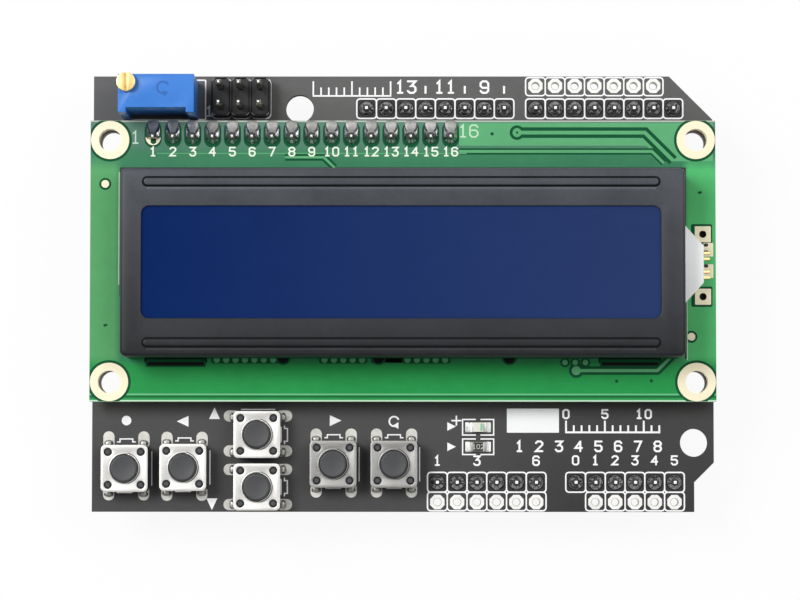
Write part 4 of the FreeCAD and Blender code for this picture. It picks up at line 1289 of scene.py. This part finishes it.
    def clipped(self, bm, low, high):
        """Cuts a flat shape at the board's edges."""
        for axis in (0, 1):
            for side, edge in ((-1, low[axis] + 0.03), (1, high[axis] - 0.03)):
                co, no = [0, 0, 0], [0, 0, 0]
                co[axis], no[axis] = edge, side
                geom = bm.verts[:] + bm.edges[:] + bm.faces[:]
                bmesh.ops.bisect_plane(bm, geom=geom, plane_co=co, plane_no=no, clear_outer=True)
        return bm

    def sleeve(self, outer, inner, bottom, top, sides):
        """The plated or dark wall of a hole."""
        return turned([(outer, bottom), (inner, bottom), (inner, top), (outer, top)], sides)

    def pads(self, bare, deep, dark, low, high):
        z = PANEL_TOP
        bm = bmesh.new()
        for x in (-MOUNT_X, MOUNT_X):
            for y in (low.y + MOUNT_INSET, high.y - MOUNT_INSET):
                for radius, hole, thick, kind in ((2.78, 2.3, 0.006, 1), (2.45, 1.5, 0.03, 0)):
                    flat = bmesh.new()
                    for r in (radius, hole):
                        bmesh.ops.create_circle(flat, radius=r, segments=48, matrix=place(x, y))
                    bmesh.ops.bridge_loops(flat, edges=flat.edges[:])
                    put(bm, lift(self.clipped(flat, low, high), thick), place(z=z), kind)
                put(bm, self.sleeve(1.5, 1.44, low.z, z + 0.02, 40), place(x, y), 0)
                put(bm, self.sleeve(1.52, 1.47, BOARD_LOW, BOARD_TOP + 0.01, 40), place(x, y), 2)
                put(bm, washer(2.1, 1.47, 0.012, 40), place(x, y, BOARD_TOP), 3)
        wire_x = 38.35
        for y in (-0.65, 7.35):
            put(bm, pierced(sheet(2.05, 2.05, 0.1), [(0, 0, 0.47, 16)], 0.03), place(wire_x, y, z), 0)
            put(bm, pierced(sheet(2.7, 2.6, 0.2), [(0, 0, 0.6, 16)], 0.006), place(wire_x - 0.15, y, z), 1)
            put(bm, self.sleeve(0.5, 0.44, low.z, z + 0.01, 16), place(wire_x, y), 2)
            put(bm, disc(0.46, 0.1, 16), place(wire_x, y, low.z + 0.3), 2)
        for y, spots in ((5.36, (5.97, 5.08)), (2.62, (3.29, 2.52))):
            put(bm, slab(1.25, 1.75, 0.02, 0.1), place(39.05, y, z), 0)
            for spot_y in spots:
                put(bm, slab(0.55, 0.42, 0.05, 0.15, 0.03), place(38.75, spot_y, z), 2)
        for x, y in ((36.84, -5.77), (-38.1, 13.8)):
            put(bm, disc(0.78, 0.006, 20), place(x, y, z), 1)
            put(bm, disc(0.5, 0.03, 20), place(x, y, z), 0)
        brown = plain("Board seen through a hole", (0.10, 0.078, 0.058), (0.5, 0.6), 0.15)
        make_piece("panel_pads", bm, [bare, deep, dark, brown])
        pads = bmesh.new()
        pin_y = span("display_pins")[0].y + PIN_WIDTH / 2
        first = span("display_pins")[0].x + PIN_WIDTH / 2
        put(pads, disc(0.95, 0.02, 24), place(first, pin_y - 0.12, z), 0)
        put(pads, disc(0.42, 0.026, 6), place(first + 0.05, pin_y - 0.55, z), 1)
        for middle, extent in solids("display_pins"):
            put(pads, slab(2.2, 3.3, 0.010, 1.0, steps=5), place(middle.x, pin_y + 0.30, z), 1)
        make_piece("pin_pad_channels", pads, [bare, deep])

    def print_figures(self):
        bm = bmesh.new()
        z = PANEL_TOP
        pins = solids("display_pins")
        for i, (middle, extent) in enumerate(pins):
            figures(bm, str(i + 1), middle.x, 17.95, 1.25, 0.2, z)
        figures(bm, "1", pins[0][0].x - 2.25, 19.8, 1.7, 0.18, z, 1)
        figures(bm, "16", pins[-1][0].x + 2.3, 20.6, 1.7, 0.2, z, 1)
        pale = plain("Thin print", srgb("b9d8ba"), (0.5, 0.6), 0.06)
        label = plain("Panel print", srgb("e6f0e0"), (0.5, 0.65), 0.05)
        make_piece("panel_print", bm, [label, pale])


class SHIELD_OT_bezel(bpy.types.Operator):
    """Fold the black steel bezel with its window, beads, side opening and bent tabs."""

    bl_idname = "shield.bezel"
    bl_label = "Bezel"

    def execute(self, context):
        wide = BEZEL_HIGH.x - BEZEL_LOW.x
        deep, y, top = BEZEL_DEPTH, BEZEL_MIDDLE, BEZEL_SHEET_TOP
        window, window_shift = (65.5, 14.2), -0.2
        bead_length, bead_width, bead_out = 65.4, 1.4, 10.15
        steel_sheet = 0.4
        bm = sheet(wide, deep, 0.8, 4)
        put(bm, sheet(*window, 1.0, 4), place(window_shift))
        bmesh.ops.delete(bm, geom=bm.faces[:], context="FACES_ONLY")
        bmesh.ops.bridge_loops(bm, edges=bm.edges[:])
        bmesh.ops.translate(bm, vec=(0, y, top), verts=bm.verts)
        rim = [e for e in bm.edges if e.is_boundary]
        outer = [e for e in rim if self.far_out(e, y)]
        inner = [e for e in rim if e not in outer]
        for edges, drop in ((outer, top - PANEL_TOP), (inner, steel_sheet)):
            made = bmesh.ops.extrude_edge_only(bm, edges=edges)["geom"]
            bmesh.ops.translate(bm, vec=(0, 0, -drop), verts=[g for g in made if isinstance(g, bmesh.types.BMVert)])
        bmesh.ops.recalc_face_normals(bm, faces=bm.faces)
        soften(bm, [e for e in level_edges(bm, top) if not self.far_out(e, y)], 0.12, 2)
        soften(bm, [e for e in level_edges(bm, top) if self.far_out(e, y)], size("bezel_bend"), 5)
        self.side_opening(bm, y)
        bmesh.ops.recalc_face_normals(bm, faces=bm.faces)
        bmesh.ops.solidify(bm, geom=bm.faces[:], thickness=0.38)
        for side in (-1, 1):
            # Painted shade: the bead's lower rings, its walls, take a near-black finish, and its crest takes the
            # coat.
            rings = [(0.66, 0.012, 1), (0.60, 0.03, 1), (0.50, 0.13, 1), (0.40, 0.205, 1), (0.34, 0.23, 0),
                     (0.22, 0.25, 0), (0.08, 0.254, 0)]
            at = y + side * bead_out
            put(bm, bead(bead_length, bead_width, rings), place(window_shift, at, top - 0.005))
            # Painted highlight: a pale line along the lower side of each bead, a lighter copy of the coat.
            bead_highlight_line = lift(frame_line(bead_length - 1.5, 0.06, 0.03, 0.16), 0.016)
            put(bm, bead_highlight_line, place(window_shift, at - 0.86, top - 0.004), 2)
        low = BEZEL_LOW.z
        for x in (-29, 0, 29):
            for side in (-1, 1):
                wall = y + side * (deep - steel_sheet) / 2
                put(bm, slab(6.4, steel_sheet, PANEL_TOP - low + 0.3, 0.05, 0), place(x, wall, low))
                put(bm, slab(6.4, 1.6, steel_sheet, 0.1, 0.08), place(x, wall - side * 1.0, low))
        coat = tuple(colours().bezel)
        # Painted light: the coat is drawn lighter towards the top, for how the light falls on the bezel.
        painted_light_along_y = (1, -8.5, 15.2, 4.6)
        steel = finish("Black coat", toned(coat, 0.85), toned(coat, 1.15), (0.34, 0.46), scale=1800.0, bump=0.006,
                       far=painted_light_along_y, specular=0.22)
        # Painted shade on the beads' walls.
        bead_wall_shade = plain("Painted shade on the bead walls", (0.007, 0.0075, 0.009), (0.5, 0.6), 0.1, specular=0.15)
        # Painted highlight beside the beads, a lighter copy of the coat.
        bead_highlight = finish("Painted highlight beside the beads", toned(coat, 1.8), toned(coat, 2.4), (0.3, 0.4), scale=1800.0, bump=0.004,
                      far=painted_light_along_y)
        make_piece("bezel_sheet", bm, [steel, bead_wall_shade, bead_highlight], replaces=("display_bezel",))
        return {"FINISHED"}

    def far_out(self, edge, y):
        """Tells the bezel's outline from its window."""
        return all(abs(v.co.x) > 34 or abs(v.co.y - y) > 10 for v in edge.verts)

    def side_opening(self, bm, y):
        """Opens the right wall over the light guide's tail."""
        level = PANEL_TOP + 2.7
        half = 5.35

        def right_wall():
            return [f for f in bm.faces if all(v.co.x > BEZEL_HIGH.x - 0.1 for v in f.verts)]

        for co, no in (((0, y - half, 0), (0, 1, 0)), ((0, y + half, 0), (0, 1, 0)), ((0, 0, level), (0, 0, 1))):
            wall = right_wall()
            geom = list({v for f in wall for v in f.verts}) + list({e for f in wall for e in f.edges}) + wall
            bmesh.ops.bisect_plane(bm, geom=geom, plane_co=co, plane_no=no)
        middles = [(f, f.calc_center_median()) for f in right_wall()]
        gate = [f for f, middle in middles if abs(middle.y - y) < half and middle.z < level]
        bmesh.ops.delete(bm, geom=gate, context="FACES")


class SHIELD_OT_screen(bpy.types.Operator):
    """Finish the screen's films, glasses and rubber connectors."""

    bl_idname = "shield.screen"
    bl_label = "Screen"

    def execute(self, context):
        deep = tuple(colours().screen)
        material = bpy.data.materials.new("Screen film")
        material.use_nodes = True
        tree = material.node_tree
        shader = tree.nodes["Principled BSDF"]
        where = tree.nodes.new("ShaderNodeTexCoord")
        parts = tree.nodes.new("ShaderNodeSeparateXYZ")
        tree.links.new(where.outputs["Object"], parts.inputs[0])
        # Painted reflection: the film is drawn lighter towards the right, standing in for the brighter reflection
        # there.
        across = tree.nodes.new("ShaderNodeMapRange")
        tree.links.new(parts.outputs["X"], across.inputs["Value"])
        across.inputs["From Min"].default_value = -0.033
        across.inputs["From Max"].default_value = 0.033
        grain = placed_group(tree, grain_group())
        grain.inputs["Scale"].default_value = 500.0
        tree.links.new(where.outputs["Object"], grain.inputs["Vector"])
        near = mixed(tree, grain.outputs["Tone"], toned(deep, 0.95), toned(deep, 1.05))
        far = (deep[0] + 0.018, deep[1] + 0.022, deep[2] + 0.028)
        away = mixed(tree, grain.outputs["Tone"], toned(far, 0.95), toned(far, 1.05))
        tree.links.new(mixed(tree, across.outputs["Result"], near, away), shader.inputs["Base Color"])
        tree.links.new(ranged(tree, grain.outputs["Tone"], 0.10, 0.15), shader.inputs["Roughness"])
        shader.inputs["Specular IOR Level"].default_value = 0.2
        dress(["front_polariser"], material)
        glass = plain("Float glass", (0.10, 0.16, 0.30), (0.03, 0.06), 0.05, clear=0.85, ior=1.5, bump=0.0005)
        dress(["upper_glass", "lower_glass"], glass)
        film = plain("Rear film", (0.05, 0.07, 0.20), (0.3, 0.4), 0.08)
        dress(["rear_polariser"], film)
        dress(["diffuser_film"], plain("Diffuser", (0.82, 0.84, 0.88), (0.6, 0.75), 0.04))
        rubber = plain("Layered rubber", (0.34, 0.34, 0.37), (0.6, 0.75), 0.3, scale=6000.0, lines=True)
        dress(["zebra_strips"], rubber)
        return {"FINISHED"}


class SHIELD_OT_backlight(bpy.types.Operator):
    """Build the light guide's white tail and its side lamp with bright leads."""

    bl_idname = "shield.backlight"
    bl_label = "Backlight"

    def execute(self, context):
        white = plain("Milky plastic", (0.965, 0.98, 0.985), (0.26, 0.38), 0.015, scale=1500.0, bump=0.002)
        make_piece("guide_body", softened("light_guide", 0.12, 3), [white], replaces=("light_guide",))
        bm = softened("backlight_lamp", 0.03)
        for f in bm.faces:
            f.material_index = 1 if f.calc_center_median().z < PANEL_TOP + 0.16 else 0
        housing = plain("Lamp housing", srgb("dfe2dc"), (0.3, 0.4), 0.04)
        make_piece("side_lamp", bm, [housing, gold()], replaces=("backlight_lamp",))
        return {"FINISHED"}


class SHIELD_OT_back(bpy.types.Operator):
    """Finish the mounds over the chips on the display board's back."""

    bl_idname = "shield.back"
    bl_label = "Back parts"

    def execute(self, context):
        epoxy = plain("Cast epoxy", (0.016, 0.016, 0.018), (0.12, 0.22), 0.2, scale=900.0, bump=0.02)
        make_piece("chip_mounds", softened("controller_blobs", 0.5, 4, 10), [epoxy], replaces=("controller_blobs",))
        return {"FINISHED"}


class SHIELD_OT_stage(bpy.types.Operator):
    """Set up the pale floor, the soft light and the camera."""

    bl_idname = "shield.stage"
    bl_label = "Stage"

    # The photograph's camera, in millimetres and degrees
    CAMERA_PLACE = (0.949, -24.853, 446.36)
    CAMERA_TURN = (3.1496, 0.1724, 0.0216)
    CAMERA_LENS = 152.42

    def execute(self, context):
        bm = bmesh.new()
        bmesh.ops.create_grid(bm, x_segments=1, y_segments=1, size=4.0)
        mesh = bpy.data.meshes.new("floor")
        bm.to_mesh(mesh)
        bm.free()
        floor = bpy.data.objects.new("floor", mesh)
        context.scene.collection.objects.link(floor)
        mesh.materials.append(self.floor_finish())
        self.sky()
        self.lamp("key_light", (-0.30, 0.15, 0.52), 0.26, 2.3)
        self.lamp("fill_light", (0.30, 0.14, 0.62), 0.35, 1.0)
        self.camera(context)
        context.scene.view_settings.view_transform = "Standard"
        return {"FINISHED"}

    def floor_finish(self):
        material = bpy.data.materials.new("Pale floor")
        material.use_nodes = True
        tree = material.node_tree
        tree.nodes.clear()
        out = tree.nodes.new("ShaderNodeOutputMaterial")
        mix = tree.nodes.new("ShaderNodeMixShader")
        matt = tree.nodes.new("ShaderNodeBsdfDiffuse")
        matt.inputs["Color"].default_value = (0.82, 0.82, 0.82, 1)
        glow = tree.nodes.new("ShaderNodeEmission")
        ray = tree.nodes.new("ShaderNodeLightPath")
        seen = math_node(tree, "MAXIMUM", ray.outputs["Is Camera Ray"], ray.outputs["Is Glossy Ray"])
        seen = math_node(tree, "MAXIMUM", seen, ray.outputs["Is Transmission Ray"])
        tree.links.new(math_node(tree, "MULTIPLY", seen, 0.92), mix.inputs[0])
        tree.links.new(matt.outputs[0], mix.inputs[1])
        tree.links.new(glow.outputs[0], mix.inputs[2])
        tree.links.new(mix.outputs[0], out.inputs["Surface"])
        return material

    def sky(self):
        """A soft tent of light: bright from a third of the way up, darker low down and straight overhead."""
        world = bpy.data.worlds.new("Light tent")
        bpy.context.scene.world = world
        world.use_nodes = True
        tree = world.node_tree
        back = tree.nodes["Background"]
        where = tree.nodes.new("ShaderNodeTexCoord")
        parts = tree.nodes.new("ShaderNodeSeparateXYZ")
        tree.links.new(where.outputs["Generated"], parts.inputs[0])
        ramp = tree.nodes.new("ShaderNodeValToRGB")
        tree.links.new(parts.outputs["Z"], ramp.inputs["Fac"])
        stops = [(0.0, 0.10), (0.34, 0.14), (0.52, 0.95), (0.93, 1.0), (0.985, 0.30), (1.0, 0.12)]
        marks = ramp.color_ramp.elements
        while len(marks) < len(stops):
            marks.new(0.5)
        for mark, (position, value) in zip(marks, stops):
            mark.position = position
            mark.color = (value, value, value, 1)
        tree.links.new(ramp.outputs["Color"], back.inputs["Color"])
        lean = math_node(tree, "MULTIPLY", parts.outputs["Y"], 0.24)
        lean = math_node(tree, "ADD", lean, math_node(tree, "MULTIPLY", parts.outputs["X"], 0.10))
        tree.links.new(math_node(tree, "ADD", lean, 0.68), back.inputs["Strength"])

    def lamp(self, name, place_at, width, power):
        light = bpy.data.lights.new(name, "AREA")
        light.shape = "DISK"
        light.size = width
        light.energy = power
        lamp = bpy.data.objects.new(name, light)
        bpy.context.scene.collection.objects.link(lamp)
        lamp.location = place_at
        lamp.rotation_euler = Vector(place_at).to_track_quat("Z", "Y").to_euler()

    def camera(self, context):
        data = bpy.data.cameras.new("camera")
        data.lens = self.CAMERA_LENS
        data.sensor_width = 36.0
        data.clip_start = 0.01
        data.clip_end = 20.0
        camera = bpy.data.objects.new("camera", data)
        context.scene.collection.objects.link(camera)
        camera.location = Vector(self.CAMERA_PLACE) * MM
        camera.rotation_euler = [math.radians(a) for a in self.CAMERA_TURN]
        context.scene.camera = camera


STEPS = (
    SHIELD_OT_board,
    SHIELD_OT_plugs,
    SHIELD_OT_keys,
    SHIELD_OT_chips,
    SHIELD_OT_trimmer,
    SHIELD_OT_program_header,
    SHIELD_OT_panel,
    SHIELD_OT_bezel,
    SHIELD_OT_screen,
    SHIELD_OT_backlight,
    SHIELD_OT_back,
    SHIELD_OT_stage,
)


class SHIELD_PT_panel(bpy.types.Panel):
    """Lists the pieces in the order they are made."""

    bl_idname = "SHIELD_PT_panel"
    bl_label = "Keypad display shield"
    bl_space_type = "VIEW_3D"
    bl_region_type = "UI"
    bl_category = "Shield"

    def draw(self, context):
        for group in (context.scene.shield_sizes, context.scene.shield_colours):
            for name in group.__annotations__:
                self.layout.prop(group, name)
        for step in STEPS:
            self.layout.operator(step.bl_idname)


CLASSES = (ShieldColours, ShieldSizes, *STEPS, SHIELD_PT_panel)


def register():
    for cls in CLASSES:
        bpy.utils.register_class(cls)
    bpy.types.Scene.shield_colours = bpy.props.PointerProperty(type=ShieldColours)
    bpy.types.Scene.shield_sizes = bpy.props.PointerProperty(type=ShieldSizes)


def unregister():
    del bpy.types.Scene.shield_sizes
    del bpy.types.Scene.shield_colours
    for cls in reversed(CLASSES):
        bpy.utils.unregister_class(cls)


def main():
    register()
    for step in STEPS:
        area, name = step.bl_idname.split(".")
        getattr(getattr(bpy.ops, area), name)()


if __name__ == "__main__":
    main()
